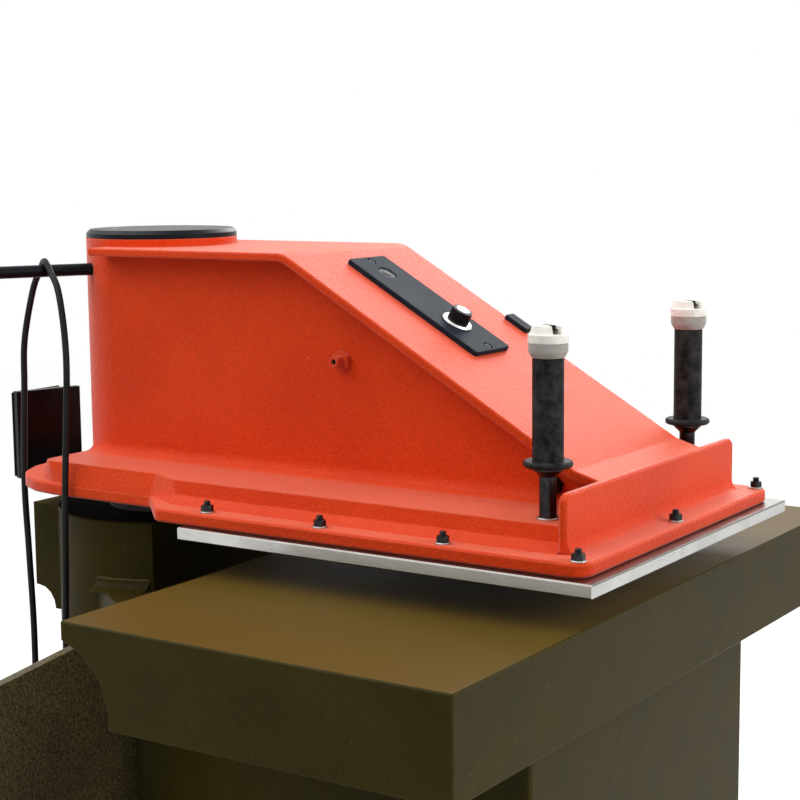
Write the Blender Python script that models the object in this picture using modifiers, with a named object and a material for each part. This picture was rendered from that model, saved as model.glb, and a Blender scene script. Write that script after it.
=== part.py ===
# Swing arm cutting press, built as separate named pieces.
# Metres, +Z up. The origin lies on the floor, on the axis of the column that
# carries the arm. The operator stands at -Y. "Forward" is the distance from
# the column axis towards the operator, and "near" is the -X side.

import math

import bmesh
import bpy
from mathutils import Matrix, Vector

# Driving dimensions of the whole press
TABLE_HEIGHT = 0.900        # floor to cutting surface
TABLE_WIDTH = 0.976
TABLE_DEPTH = 0.488
TABLE_REAR = 0.271          # column axis to the table's rear edge
TABLE_THICKNESS = 0.110
THROAT = 0.040              # cutting surface to raised strike plate
STROKE = 0.030
PLATE_WIDTH = 0.516
PLATE_DEPTH = 0.545
PLATE_REAR = 0.236          # column axis to the strike plate's rear edge
PLATE_THICKNESS = 0.015
ARM_HEIGHT = 0.314          # foot of the arm to its flat top
HUB_RADIUS = 0.100
PILLAR_RADIUS = 0.055
HOUSING_RADIUS = 0.150
HOUSING_RIM = 0.020         # housing rim above the cutting surface

# Fits and cuts
GAP = 0.0003                # clearance between pieces that touch
SLIDE = 0.0006              # clearance of a piece that slides or turns
SINK = 0.001                # how deep joined shapes sink into each other
OVERRUN = 0.004             # how far a cutter runs past the face it cuts
WELD = 0.00001              # corners closer than this are one
FLAT_ANGLE = math.radians(0.06)  # faces that meet at less are one

# Heights that several pieces share
PLATE_FOOT = TABLE_HEIGHT + THROAT
PLATE_TOP = PLATE_FOOT + PLATE_THICKNESS
ARM_FOOT = PLATE_TOP + GAP
ARM_TOP = ARM_FOOT + ARM_HEIGHT
RIM_HEIGHT = TABLE_HEIGHT + HOUSING_RIM

ROUND_STEPS = 32            # facets of a large round piece
SMALL_STEPS = 16            # facets of a small round piece
BORE_STEPS = 10             # facets of a screw hole
ARC_STEPS = 5               # facets of a rounded corner
SMOOTH_ANGLE = math.radians(35)

AXES = {
    "plan": Matrix(((1, 0, 0), (0, -1, 0), (0, 0, -1))),
    "side": Matrix(((0, 0, -1), (-1, 0, 0), (0, 1, 0))),
    "front": Matrix(((1, 0, 0), (0, 0, -1), (0, 1, 0))),
}


def clear_scene():
    for thing in list(bpy.data.objects):
        bpy.data.objects.remove(thing, do_unlink=True)


clear_scene()
pieces = bpy.data.collections.new("swing_arm_cutting_press")
cutters = bpy.data.collections.new("cutters")
guides = bpy.data.collections.new("joint_axes")
for group in (pieces, cutters, guides):
    bpy.context.scene.collection.children.link(group)
cutters.hide_render = True


# Materials

def make_material(name, colour, roughness, metallic=0.0):
    made = bpy.data.materials.new(name)
    made.use_nodes = True
    shader = made.node_tree.nodes["Principled BSDF"]
    shader.inputs["Base Color"].default_value = (*colour, 1.0)
    shader.inputs["Roughness"].default_value = roughness
    shader.inputs["Metallic"].default_value = metallic
    made.diffuse_color = (*colour, 1.0)
    return made


ORANGE = make_material("orange_paint", (0.78, 0.10, 0.03), 0.42)
OLIVE = make_material("olive_paint", (0.075, 0.058, 0.018), 0.36)
STEEL = make_material("ground_steel", (0.56, 0.56, 0.55), 0.34, 1.0)
DARK_STEEL = make_material("blackened_steel", (0.018, 0.018, 0.020), 0.38, 0.6)
BRONZE = make_material("bearing_bronze", (0.52, 0.31, 0.12), 0.40, 1.0)
RUBBER = make_material("black_rubber", (0.014, 0.014, 0.014), 0.72)
BLACK_PLASTIC = make_material("black_plastic", (0.016, 0.017, 0.019), 0.35)
GREY_PLASTIC = make_material("grey_plastic", (0.31, 0.31, 0.30), 0.45)
WHITE_PLASTIC = make_material("white_plastic", (0.78, 0.77, 0.73), 0.40)
SILVER = make_material("satin_aluminium", (0.72, 0.72, 0.72), 0.28, 1.0)
GREY_PAINT = make_material("grey_paint", (0.22, 0.24, 0.25), 0.45)


# Placing and shaping

def place(thing, material, group=None):
    (group or pieces).objects.link(thing)
    if material is not None:
        thing.data.materials.append(material)
    if group is cutters:
        thing.hide_render = True
        thing.display_type = "WIRE"
    return thing


def smooth(mesh):
    mesh.shade_smooth()
    mesh.set_sharp_from_angle(angle=SMOOTH_ANGLE)


def point(across, forward, height):
    return Vector((across, -forward, height))


def mesh_object(name, shape, material, group=None):
    mesh = bpy.data.meshes.new(name)
    bmesh.ops.recalc_face_normals(shape, faces=shape.faces)
    shape.to_mesh(mesh)
    shape.free()
    smooth(mesh)
    return place(bpy.data.objects.new(name, mesh), material, group)


def box(name, across, forward, height, material, group=None):
    # Each of across, forward and height is a (low, high) pair
    shape = bmesh.new()
    bmesh.ops.create_cube(shape, size=1)
    size = Vector((across[1] - across[0], forward[1] - forward[0], height[1] - height[0]))
    bmesh.ops.scale(shape, vec=size, verts=shape.verts)
    thing = mesh_object(name, shape, material, group)
    thing.location = point(sum(across) / 2, sum(forward) / 2, sum(height) / 2)
    return thing


def cylinder(name, radius, start, end, material, group=None, steps=SMALL_STEPS, end_radius=None):
    # A round bar or cone from one point to another
    shape = bmesh.new()
    way = end - start
    bmesh.ops.create_cone(
        shape, cap_ends=True, segments=steps, radius1=radius,
        radius2=radius if end_radius is None else end_radius, depth=way.length)
    thing = mesh_object(name, shape, material, group)
    thing.rotation_mode = "QUATERNION"
    thing.rotation_quaternion = way.to_track_quat("Z", "Y")
    thing.location = (start + end) / 2
    return thing


def turned(name, profile, material, group=None, centre=(0, 0, 0), steps=ROUND_STEPS, ring=False):
    # A lathe shape; the profile of (radius, height) runs down the outer side
    mesh = bpy.data.meshes.new(name)
    count = len(profile)
    edges = [(i, i + 1) for i in range(count - 1)]
    if ring:
        edges.append((count - 1, 0))
    mesh.from_pydata([(radius, 0, height) for radius, height in profile], edges, [])
    thing = place(bpy.data.objects.new(name, mesh), material, group)
    thing.location = centre
    screw = thing.modifiers.new("turn", "SCREW")
    screw.steps = steps
    screw.render_steps = steps
    screw.use_merge_vertices = True
    screw.merge_threshold = WELD
    screw.use_smooth_shade = False
    return thing


def rounded(corners, steps=ARC_STEPS):
    # An outline whose corners (x, y, radius) become arcs
    outline = []
    count = len(corners)
    for i, (x, y, radius) in enumerate(corners):
        if radius <= 0:
            outline.append((x, y))
            continue
        corner = Vector((x, y))
        back = (Vector(corners[i - 1][:2]) - corner).normalized()
        ahead = (Vector(corners[(i + 1) % count][:2]) - corner).normalized()
        half = back.angle(ahead) / 2
        centre = corner + (back + ahead).normalized() * (radius / math.sin(half))
        first = corner + back * (radius / math.tan(half)) - centre
        last = corner + ahead * (radius / math.tan(half)) - centre
        turn = first.angle_signed(last)
        for k in range(steps + 1):
            spoke = first.copy()
            spoke.rotate(Matrix.Rotation(-turn * k / steps, 2))
            outline.append(tuple(centre + spoke))
    return outline


def mirrored(half):
    # A closed outline from its near half, listed from rear to front
    return list(half) + [(-corner[0], *corner[1:]) for corner in reversed(half)]


def prism(name, outline, low, high, material, group=None, plane="plan", frame=None):
    # A flat outline with thickness, from a filled two-dimensional curve
    curve = bpy.data.curves.new(name, "CURVE")
    curve.dimensions = "2D"
    curve.fill_mode = "BOTH"
    curve.extrude = abs(high - low) / 2
    spline = curve.splines.new("POLY")
    spline.points.add(len(outline) - 1)
    for spot, (x, y) in zip(spline.points, outline):
        spot.co = (x, y, 0, 1)
    spline.use_cyclic_u = True
    flat = bpy.data.objects.new(name, curve)
    bpy.context.scene.collection.objects.link(flat)
    middle = (low + high) / 2
    if frame is not None:
        flat.matrix_world = frame @ Matrix.Translation((0, 0, middle))
    else:
        turn = AXES[plane].to_4x4()
        shift = {"plan": (0, 0, middle), "side": (middle, 0, 0), "front": (0, -middle, 0)}
        flat.matrix_world = Matrix.Translation(shift[plane]) @ turn
    return as_mesh(flat, material, group)


def as_mesh(flat, material, group=None):
    # The curve's solid as a welded mesh object in the same place
    bpy.context.view_layer.update()
    graph = bpy.context.evaluated_depsgraph_get()
    mesh = bpy.data.meshes.new_from_object(flat.evaluated_get(graph))
    shape = bmesh.new()
    shape.from_mesh(mesh)
    bmesh.ops.remove_doubles(shape, verts=shape.verts, dist=WELD)
    bmesh.ops.dissolve_limit(
        shape, angle_limit=FLAT_ANGLE, verts=shape.verts, edges=shape.edges)
    bmesh.ops.recalc_face_normals(shape, faces=shape.faces)
    shape.to_mesh(mesh)
    shape.free()
    mesh.materials.clear()
    smooth(mesh)
    name = flat.name
    matrix = flat.matrix_world.copy()
    bpy.data.objects.remove(flat, do_unlink=True)
    mesh.name = name
    thing = bpy.data.objects.new(name, mesh)
    place(thing, material, group)
    thing.matrix_world = matrix
    return thing


def loft(name, rings, material, group=None):
    # A solid between outlines of one length, each (outline, height)
    shape = bmesh.new()
    levels = []
    for outline, height in rings:
        levels.append([shape.verts.new(point(x, y, height)) for x, y in outline])
    count = len(levels[0])
    for lower, upper in zip(levels, levels[1:]):
        for i in range(count):
            j = (i + 1) % count
            shape.faces.new((lower[i], lower[j], upper[j], upper[i]))
    shape.faces.new(levels[0])
    shape.faces.new(levels[-1])
    return mesh_object(name, shape, material, group)


def rod(name, path, radius, material, resolution=2):
    # A bent round bar or hose along a list of points
    curve = bpy.data.curves.new(name, "CURVE")
    curve.dimensions = "3D"
    curve.bevel_depth = radius
    curve.bevel_resolution = resolution
    curve.use_fill_caps = True
    spline = curve.splines.new("POLY")
    spline.points.add(len(path) - 1)
    for spot, place_at in zip(spline.points, path):
        spot.co = (*place_at, 1)
    return place(bpy.data.objects.new(name, curve), material)


def cove(radius, steps=4):
    # Corner filling with a hollow face: (out, up) points from the corner
    points = [(-SINK, -SINK), (radius, -SINK), (radius, 0)]
    for k in range(1, steps):
        angle = math.pi / 2 * k / steps
        points.append((radius - radius * math.sin(angle), radius - radius * math.cos(angle)))
    return points + [(0, radius), (-SINK, radius)]


def combine(target, other, operation):
    step = target.modifiers.new(other.name, "BOOLEAN")
    step.operation = operation
    step.solver = "EXACT"
    step.object = other


def cut(target, *others):
    for other in others:
        combine(target, other, "DIFFERENCE")


def join(target, *others):
    for other in others:
        combine(target, other, "UNION")


def bevel(thing, width, segments=1):
    step = thing.modifiers.new("edges", "BEVEL")
    step.width = width
    step.segments = segments
    step.limit_method = "ANGLE"
    step.angle_limit = SMOOTH_ANGLE


def bore(name, radius, start, end, steps=BORE_STEPS):
    return cylinder(name, radius, start, end, None, cutters, steps)


def axis_empty(name, where, turn=None):
    empty = bpy.data.objects.new(name, None)
    guides.objects.link(empty)
    empty.location = where
    if turn is not None:
        empty.rotation_euler = turn
    empty.hide_render = True
    return empty


def carry(empty, *things):
    bpy.context.view_layer.update()
    for thing in things:
        thing.parent = empty
        thing.matrix_parent_inverse = empty.matrix_world.inverted()


# Base plate and pedestal

BASE_THICKNESS = 0.020
FLOOR_PLATE_REAR = 0.345           # behind the column axis
FLOOR_PLATE_FRONT = 0.740
ANCHOR_RADIUS = 0.009
ANCHOR_INSET = 0.045
PEDESTAL_INSET = 0.211      # from the table's side to the pedestal's
PEDESTAL_HALF = TABLE_WIDTH / 2 - PEDESTAL_INSET
PEDESTAL_SETBACK = 0.039    # behind the table's front edge
PEDESTAL_FRONT = TABLE_REAR + TABLE_DEPTH - PEDESTAL_SETBACK
PEDESTAL_WALL = 0.014
PEDESTAL_CORNER = 0.006
CAVITY_START = math.radians(18)  # where the round rear of the hollow begins
NECK_START = 0.003          # forward of the axis, where the flare leaves the housing
NECK_START_HALF = 0.148
NECK_END = 0.200            # forward end of the flare
NECK_DROP = 0.070           # neck top below the cutting surface
NECK_FILLET = 0.016
TABLE_SEAT = TABLE_HEIGHT - TABLE_THICKNESS - GAP
NECK_TOP = TABLE_HEIGHT - NECK_DROP
GUSSET = 0.015

base_foot = BASE_THICKNESS + GAP


def build_base_plate():
    half = TABLE_WIDTH / 2
    plate = box(
        "base_plate", (-half, half), (-FLOOR_PLATE_REAR, FLOOR_PLATE_FRONT),
        (0, BASE_THICKNESS), OLIVE)
    bevel(plate, BASE_THICKNESS / 8)
    for side in (-1, 1):
        holes = (-FLOOR_PLATE_REAR + ANCHOR_INSET, FLOOR_PLATE_FRONT - ANCHOR_INSET)
        for k, forward in enumerate(holes):
            across = side * (half - ANCHOR_INSET)
            cut(plate, bore(
                f"anchor_hole_{side}_{k}", ANCHOR_RADIUS, point(across, forward, -OVERRUN),
                point(across, forward, BASE_THICKNESS + OVERRUN)))


def pedestal_outline(margin=0.0):
    near = [
        (-NECK_START_HALF - margin, NECK_START - margin),
        (-PEDESTAL_HALF - margin, NECK_END - margin / 2),
        (-PEDESTAL_HALF - margin, PEDESTAL_FRONT + margin),
    ]
    return mirrored(near)


def build_pedestal():
    half = PEDESTAL_HALF
    wall = PEDESTAL_WALL
    table_wall = TABLE_REAR + OVERHANG
    body = prism("pedestal", pedestal_outline(), base_foot, NECK_TOP, OLIVE)
    bevel(body, PEDESTAL_CORNER, 2)
    ring = [(HOUSING_RADIUS + GAP + out, NECK_TOP + up) for out, up in cove(NECK_FILLET)]
    fillet = turned("neck_fillet", list(reversed(ring)), None, cutters, ring=True)
    cut(fillet, box(
        "neck_fillet_rear", (-PEDESTAL_HALF, PEDESTAL_HALF), (-PEDESTAL_HALF, NECK_START + SINK),
        (NECK_TOP - NECK_FILLET, NECK_TOP + 2 * NECK_FILLET), None, cutters))
    join(body, fillet)
    for side in (-1, 1):
        inner = side * (half - SINK)
        wedge = [
            (inner, TABLE_SEAT - GUSSET), (side * half, TABLE_SEAT - GUSSET),
            (side * (half + GUSSET), TABLE_SEAT), (inner, TABLE_SEAT)]
        gusset = prism(
            f"gusset_{side}", wedge, table_wall + GUSSET, PEDESTAL_FRONT - GUSSET / 3,
            None, cutters, plane="front")
        join(body, gusset)
    recess = prism(
        "table_recess", table_side(GAP), -half - 2 * GUSSET, half + 2 * GUSSET, None, cutters,
        plane="side")
    cut(body, recess)
    housing = bore(
        "housing_seat", HOUSING_RADIUS + GAP, point(0, 0, 0),
        point(0, 0, RIM_HEIGHT + OVERRUN), ROUND_STEPS)
    cut(body, housing)
    face = box(
        "flat_front_seat", (-HOUSING_RADIUS, HOUSING_RADIUS),
        (HOUSING_FLAT - OVERRUN, HOUSING_RADIUS + NECK_FILLET), (NECK_TOP, RIM_HEIGHT), None, cutters)
    cut(body, face)
    wall_radius = HOUSING_RADIUS + wall
    start = CAVITY_START
    rear = [
        (wall_radius * math.cos(start + (math.pi - 2 * start) * k / 8),
         wall_radius * math.sin(start + (math.pi - 2 * start) * k / 8)) for k in range(9)]
    inside = rear + [
        (-half + wall, NECK_END + wall / 3), (-half + wall, PEDESTAL_FRONT - wall),
        (half - wall, PEDESTAL_FRONT - wall), (half - wall, NECK_END + wall / 3)]
    cut(body, prism("pedestal_cavity", inside, 0, TABLE_SEAT - wall, None, cutters))
    cut(body, box(
        "neck_cavity", (-half + 2 * wall, half - 2 * wall), (wall_radius + wall, table_wall - wall),
        (TABLE_SEAT - 2 * wall, NECK_TOP - wall), None, cutters))
    cut(body, box(
        "pedestal_mouth", (-half + 2 * wall, half - 2 * wall),
        (table_wall + wall, PEDESTAL_FRONT - 2 * wall),
        (TABLE_SEAT - 2 * wall, TABLE_SEAT + OVERRUN), None, cutters))


# Cutting table

OVERHANG = 0.064            # rear lip past the table's rear wall
LIP_THICKNESS = 0.021
COVE_DROP = 0.071
COVE_SHARES = ((0.37, 0.13), (0.55, 0.27), (0.83, 0.51))
TABLE_TOP_THICKNESS = 0.036
TABLE_WALL = 0.020
TABLE_EDGE = 0.0015


def table_side(margin=0.0):
    # Side view of the table, moved back and down by the margin
    front = TABLE_REAR + TABLE_DEPTH
    foot = TABLE_HEIGHT - TABLE_THICKNESS
    lip = TABLE_HEIGHT - LIP_THICKNESS
    rear_wall = TABLE_REAR + OVERHANG
    side = [(front, TABLE_HEIGHT), (TABLE_REAR, TABLE_HEIGHT), (TABLE_REAR, lip)]
    side += [(TABLE_REAR + OVERHANG * out, lip - COVE_DROP * down) for out, down in COVE_SHARES]
    side += [(rear_wall, lip - COVE_DROP), (rear_wall, foot), (front, foot)]
    return [(forward - margin, height - margin) for forward, height in side]


def build_table():
    front = TABLE_REAR + TABLE_DEPTH
    foot = TABLE_HEIGHT - TABLE_THICKNESS
    rear_wall = TABLE_REAR + OVERHANG
    half = TABLE_WIDTH / 2
    table = prism("cutting_table", table_side(), -half, half, OLIVE, plane="side")
    bevel(table, TABLE_EDGE)
    rib = PEDESTAL_WALL + GUSSET
    pockets = (
        ("near", -half + TABLE_WALL, -PEDESTAL_HALF - GUSSET),
        ("middle", -PEDESTAL_HALF + rib, PEDESTAL_HALF - rib),
        ("far", PEDESTAL_HALF + GUSSET, half - TABLE_WALL),
    )
    for name, low, high in pockets:
        cut(table, box(
            f"table_pocket_{name}", (low, high), (rear_wall + TABLE_WALL, front - TABLE_WALL),
            (foot - OVERRUN, TABLE_HEIGHT - TABLE_TOP_THICKNESS), None, cutters))


# Column housing and its bushes

HOUSING_FLAT = 0.080        # flat front face, forward of the axis
BUSH_WALL = 0.013
HOUSING_BORE = PILLAR_RADIUS + SLIDE + BUSH_WALL + GAP
HOUSING_WIDE_BORE = 0.116   # wide bore below and between the two bush seats
HOUSING_STEP = 0.450        # height where the bore narrows
LOWER_SEAT = 0.090
UPPER_SEAT = 0.150
RIM_CHAMFER = 0.003
BLOCK_HALF = 0.102
BLOCK_REAR = 0.155
BLOCK_DEPTH = 0.115
BLOCK_COVE = 0.030
BLOCK_ROOT_SHARE = 0.69     # how far in the block starts, of the housing's radius
WIPER_RADIUS = 0.078
WIPER_THICKNESS = 0.008
WINDOW_RADIUS = 0.030
WINDOW_HEIGHT = 0.150


def build_housing():
    profile = [
        (HOUSING_BORE, RIM_HEIGHT), (HOUSING_RADIUS - RIM_CHAMFER, RIM_HEIGHT),
        (HOUSING_RADIUS, RIM_HEIGHT - RIM_CHAMFER), (HOUSING_RADIUS, base_foot),
        (HOUSING_WIDE_BORE, base_foot), (HOUSING_WIDE_BORE, HOUSING_STEP - BUSH_WALL),
        (HOUSING_BORE, HOUSING_STEP), (HOUSING_BORE, HOUSING_STEP + LOWER_SEAT),
        (HOUSING_WIDE_BORE, HOUSING_STEP + LOWER_SEAT), (HOUSING_WIDE_BORE, RIM_HEIGHT - UPPER_SEAT),
        (HOUSING_BORE, RIM_HEIGHT - UPPER_SEAT)]
    housing = turned("column_housing", profile, OLIVE, ring=True)
    low = RIM_HEIGHT - BLOCK_DEPTH
    inner = HOUSING_RADIUS * BLOCK_ROOT_SHARE
    arc = [
        (-HOUSING_RADIUS + BLOCK_COVE * math.sin(math.pi / 8 * k),
         low - BLOCK_COVE * (1 - math.cos(math.pi / 8 * k))) for k in range(5)]
    side = [(-inner, RIM_HEIGHT - SINK / 5), (-BLOCK_REAR, RIM_HEIGHT - SINK / 5), (-BLOCK_REAR, low)]
    side += arc + [(-inner, low - BLOCK_COVE)]
    block = prism("housing_block", side, -BLOCK_HALF, BLOCK_HALF, None, cutters, plane="side")
    join(housing, block)
    flat = box(
        "housing_flat", (-HOUSING_RADIUS, HOUSING_RADIUS),
        (HOUSING_FLAT, HOUSING_RADIUS + OVERRUN), (NECK_TOP + GAP, RIM_HEIGHT + OVERRUN), None, cutters)
    cut(housing, flat)
    seat = bore(
        "wiper_seat", WIPER_RADIUS + GAP, point(0, 0, RIM_HEIGHT - WIPER_THICKNESS - GAP),
        point(0, 0, RIM_HEIGHT + OVERRUN), ROUND_STEPS)
    window = bore(
        "hose_window", WINDOW_RADIUS, point(0, -HOUSING_WIDE_BORE + OVERRUN * 2, WINDOW_HEIGHT),
        point(0, -HOUSING_RADIUS - OVERRUN, WINDOW_HEIGHT), SMALL_STEPS)
    cut(housing, seat, window)


def bush(name, inner, outer, low, high, material=BRONZE):
    profile = [(inner, high), (outer, high), (outer, low), (inner, low)]
    return turned(name, profile, material, ring=True)


def build_housing_bushes():
    inner = PILLAR_RADIUS + SLIDE
    top = RIM_HEIGHT - WIPER_THICKNESS - 2 * GAP
    bush("column_bush", inner, inner + BUSH_WALL, HOUSING_STEP + GAP, top)
    bush("wiper_ring", inner, WIPER_RADIUS, RIM_HEIGHT - WIPER_THICKNESS, RIM_HEIGHT - SINK / 2, RUBBER)


# Wing plates and rear cabinet

WING_FRONT = 0.150
WING_THICKNESS = 0.012
WING_FALL = 0.030           # how far the top edge falls to the outer end
CABINET_HEIGHT = 0.580
CABINET_SHEET = 0.004
CABINET_REAR = 0.330
FRAME_WIDTH = 0.036
DOOR_SHEET = 0.004
DOOR_LAP = 0.010
LOUVRE_COUNT = 5
LOUVRE_LENGTH = 0.220
LOUVRE_SPREAD = 0.154
LOUVRE_HEIGHT = 0.016
LOUVRE_PITCH = 0.034
LOUVRE_DEPTH = 0.008
HINGE_RADIUS = 0.007
HINGE_LENGTH = 0.070
HINGE_OFFSET = 0.011        # pin axis behind the cabinet's rear face
HANDLE_LENGTH = 0.120
HANDLE_STAND = 0.030
HANDLE_BEND = 0.0096
HANDLE_RADIUS = 0.005

half_width = TABLE_WIDTH / 2
hinge_axis = point(half_width - FRAME_WIDTH / 3, -CABINET_REAR - HINGE_OFFSET, 0)
hinge_heights = (base_foot + FRAME_WIDTH + HINGE_LENGTH, CABINET_HEIGHT - FRAME_WIDTH - HINGE_LENGTH)


def build_wings():
    rear = WING_FRONT - WING_THICKNESS
    flare = (PEDESTAL_HALF - NECK_START_HALF) * (WING_FRONT - NECK_START) / (NECK_END - NECK_START)
    inner = NECK_START_HALF + flare
    slope = WING_FALL / (half_width - inner)
    for name, side in (("near", -1), ("far", 1)):
        start = inner - WING_THICKNESS * 2
        face = [
            (side * start, base_foot), (side * half_width, base_foot),
            (side * half_width, NECK_TOP - WING_FALL),
            (side * start, NECK_TOP + slope * (inner - start) - GAP)]
        wing = prism(f"wing_plate_{name}", face, rear, WING_FRONT, OLIVE, plane="front")
        cut(wing, prism(
            f"wing_{name}_seat", pedestal_outline(GAP), 0, TABLE_HEIGHT, None, cutters))


def build_cabinet():
    half = half_width
    inner = half - CABINET_SHEET
    top = CABINET_HEIGHT
    front = WING_FRONT - WING_THICKNESS - GAP
    arch = [
        (-half, base_foot), (-half, top), (half, top), (half, base_foot),
        (inner, base_foot), (inner, top - CABINET_SHEET), (-inner, top - CABINET_SHEET),
        (-inner, base_foot)]
    cabinet = prism("rear_cabinet", arch, -CABINET_REAR, front, OLIVE, plane="front")
    rear = -CABINET_REAR
    frame = box(
        "cabinet_frame", (-half + SINK, half - SINK), (rear + SINK / 5, rear + CABINET_SHEET),
        (base_foot, top - SINK), None, cutters)
    mouth = box(
        "cabinet_mouth", (-half + FRAME_WIDTH, half - FRAME_WIDTH),
        (-CABINET_REAR - OVERRUN, -CABINET_REAR + CABINET_SHEET + OVERRUN),
        (base_foot + FRAME_WIDTH, top - FRAME_WIDTH), None, cutters)
    join(cabinet, frame)
    cut(cabinet, mouth)
    cut(cabinet, bore(
        "roof_hole", HOUSING_RADIUS + SINK, point(0, 0, top - 2 * OVERRUN),
        point(0, 0, top + OVERRUN), ROUND_STEPS))
    cut(cabinet, prism(
        "roof_neck", pedestal_outline(SINK), top - 2 * OVERRUN, top + OVERRUN, None, cutters))
    for name, across, forward in GLANDS:
        cut(cabinet, bore(
            f"gland_hole_{name}", GLAND_THREAD + GAP, point(across, forward, top - 2 * OVERRUN),
            point(across, forward, top + OVERRUN), SMALL_STEPS))
    for k, height in enumerate(hinge_heights):
        barrel(cabinet, f"fixed_{k}", height, -1, (hinge_axis.x, half - SINK), -CABINET_REAR + SINK)


def barrel(carrier, name, height, side, leaf_across, leaf_front):
    # Half a hinge barrel below (-1) or above (1) the middle, with its leaf
    half_way = Vector((hinge_axis.x, hinge_axis.y, height + side * GAP))
    end = Vector((hinge_axis.x, hinge_axis.y, height + side * HINGE_LENGTH / 2))
    leaf_heights = sorted((height + side * SINK, height + side * HINGE_LENGTH / 2))
    leaf = box(
        f"hinge_leaf_{name}", leaf_across, (-CABINET_REAR - HINGE_OFFSET, leaf_front), leaf_heights,
        None, cutters)
    join(carrier, cylinder(f"hinge_barrel_{name}", HINGE_RADIUS, half_way, end, None, cutters), leaf)


def build_door():
    half = half_width - FRAME_WIDTH + DOOR_LAP
    low = base_foot + FRAME_WIDTH - DOOR_LAP
    high = CABINET_HEIGHT - FRAME_WIDTH + DOOR_LAP
    front = -CABINET_REAR - GAP
    door = box("rear_door", (-half, half), (front - DOOR_SHEET, front), (low, high), OLIVE)
    bevel(door, DOOR_SHEET / 4)
    for k in range(LOUVRE_COUNT):
        for side in (-1, 1):
            across = side * LOUVRE_SPREAD
            height = high - LOUVRE_PITCH * (k + 2)
            wedge = [
                (front - DOOR_SHEET + SINK, height + LOUVRE_HEIGHT),
                (front - DOOR_SHEET - LOUVRE_DEPTH, height),
                (front - DOOR_SHEET + SINK, height)]
            louvre = prism(
                f"louvre_{k}_{side}", wedge, across - LOUVRE_LENGTH / 2,
                across + LOUVRE_LENGTH / 2, None, cutters, plane="side")
            join(door, louvre)
    outside = front - DOOR_SHEET
    mid = (low + high) / 2
    grip_at = -half + FRAME_WIDTH
    foot = outside - GAP
    path = [
        point(grip_at, foot, mid - HANDLE_LENGTH / 2),
        point(grip_at, foot - HANDLE_STAND * 2 / 3, mid - HANDLE_LENGTH / 2),
        point(grip_at, foot - HANDLE_STAND, mid - HANDLE_LENGTH / 2 + HANDLE_BEND),
        point(grip_at, foot - HANDLE_STAND, mid + HANDLE_LENGTH / 2 - HANDLE_BEND),
        point(grip_at, foot - HANDLE_STAND * 2 / 3, mid + HANDLE_LENGTH / 2),
        point(grip_at, foot, mid + HANDLE_LENGTH / 2)]
    handle = rod("door_handle", path, HANDLE_RADIUS, DARK_STEEL)
    for k, height in enumerate(hinge_heights):
        barrel(
            door, f"moving_{k}", height, 1, (half - FRAME_WIDTH / 2, hinge_axis.x), outside + SINK)
    carry(axis_empty("door_axis", hinge_axis), door, handle)


# Hydraulics under the column

CYLINDER_RADIUS = 0.080
CYLINDER_BORE = 0.050
CYLINDER_HEIGHT = 0.260
CYLINDER_FLOOR = 0.025
HEAD_THICKNESS = 0.028
PISTON_THICKNESS = 0.035
ROD_RADIUS = 0.032
ROD_FLANGE = 0.048
ROD_FLANGE_THICKNESS = 0.018
PILLAR_FOOT = 0.400         # height of the pillar's lower end
TANK_INSET = 0.033          # from the cabinet's side
TANK_WIDTH = 0.200
TANK_REAR = 0.290           # behind the column axis
TANK_FRONT = 0.060
TANK_HEIGHT = 0.300
TANK_SHEET = 0.004
TANK_NECK = 0.022
TANK_CAP_RADIUS = 0.0286
TANK_CAP_RISE = 0.033
MOTOR_INSET = 0.138         # from the cabinet's side to the shaft
MOTOR_MIDDLE = 0.120        # behind the column axis
MOTOR_SHAFT_HEIGHT = 0.120
MOTOR_RADIUS = 0.072
MOTOR_LENGTH = 0.210
MOTOR_FIN = 0.008
MOTOR_FINS = 12
MOTOR_FOOT = 0.012
MOTOR_FOOT_SPAN = 0.052
PUMP_RADIUS = 0.045
PUMP_LENGTH = 0.090
COUPLING_RADIUS = 0.018
COUPLING_LENGTH = 0.040
VALVE_SIZE = (0.080, 0.120, 0.060)
VALVE_SIDE_INSET = 0.060    # from the tank's edges to the middle of the valve block
VALVE_FRONT_INSET = 0.084
COIL_RADIUS = 0.020
COIL_LENGTH = 0.060
COIL_NUT = 0.009
HOSE_RADIUS = 0.008
HOSE_LEAD = 0.028           # straight run out of the valve block
HOSE_OUT = 0.036
HOSE_BACK = 0.072
HOSE_CLEAR = 0.0080         # from the housing
HOSE_SWEEP = 0.042
HOSE_TURN = 0.033
PIPE_RADIUS = 0.011
PIPE_BORE = 0.0088
PIPE_BEND = 0.036
PIPE_INSET = 0.033          # from the housing and from the pump
PIPE_STEPS = 4


def build_cylinder():
    foot = base_foot
    top = foot + CYLINDER_HEIGHT
    turned("hydraulic_cylinder", [
        (ROD_RADIUS + SLIDE, top + HEAD_THICKNESS), (CYLINDER_RADIUS, top + HEAD_THICKNESS),
        (CYLINDER_RADIUS, foot), (0, foot), (0, foot + CYLINDER_FLOOR),
        (CYLINDER_BORE, foot + CYLINDER_FLOOR), (CYLINDER_BORE, top), (ROD_RADIUS + SLIDE, top)],
        GREY_PAINT, ring=True)
    piston_low = foot + CYLINDER_FLOOR + STROKE + CYLINDER_FLOOR
    piston_top = piston_low + PISTON_THICKNESS
    flange_top = PILLAR_FOOT - GAP
    rod_piece = turned("piston_rod", [
        (0, flange_top), (ROD_FLANGE, flange_top), (ROD_FLANGE, flange_top - ROD_FLANGE_THICKNESS),
        (ROD_RADIUS, flange_top - ROD_FLANGE_THICKNESS), (ROD_RADIUS, piston_top),
        (CYLINDER_BORE - SLIDE, piston_top), (CYLINDER_BORE - SLIDE, piston_low),
        (0, piston_low)], STEEL)
    carry(stroke_axis, rod_piece)


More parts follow.
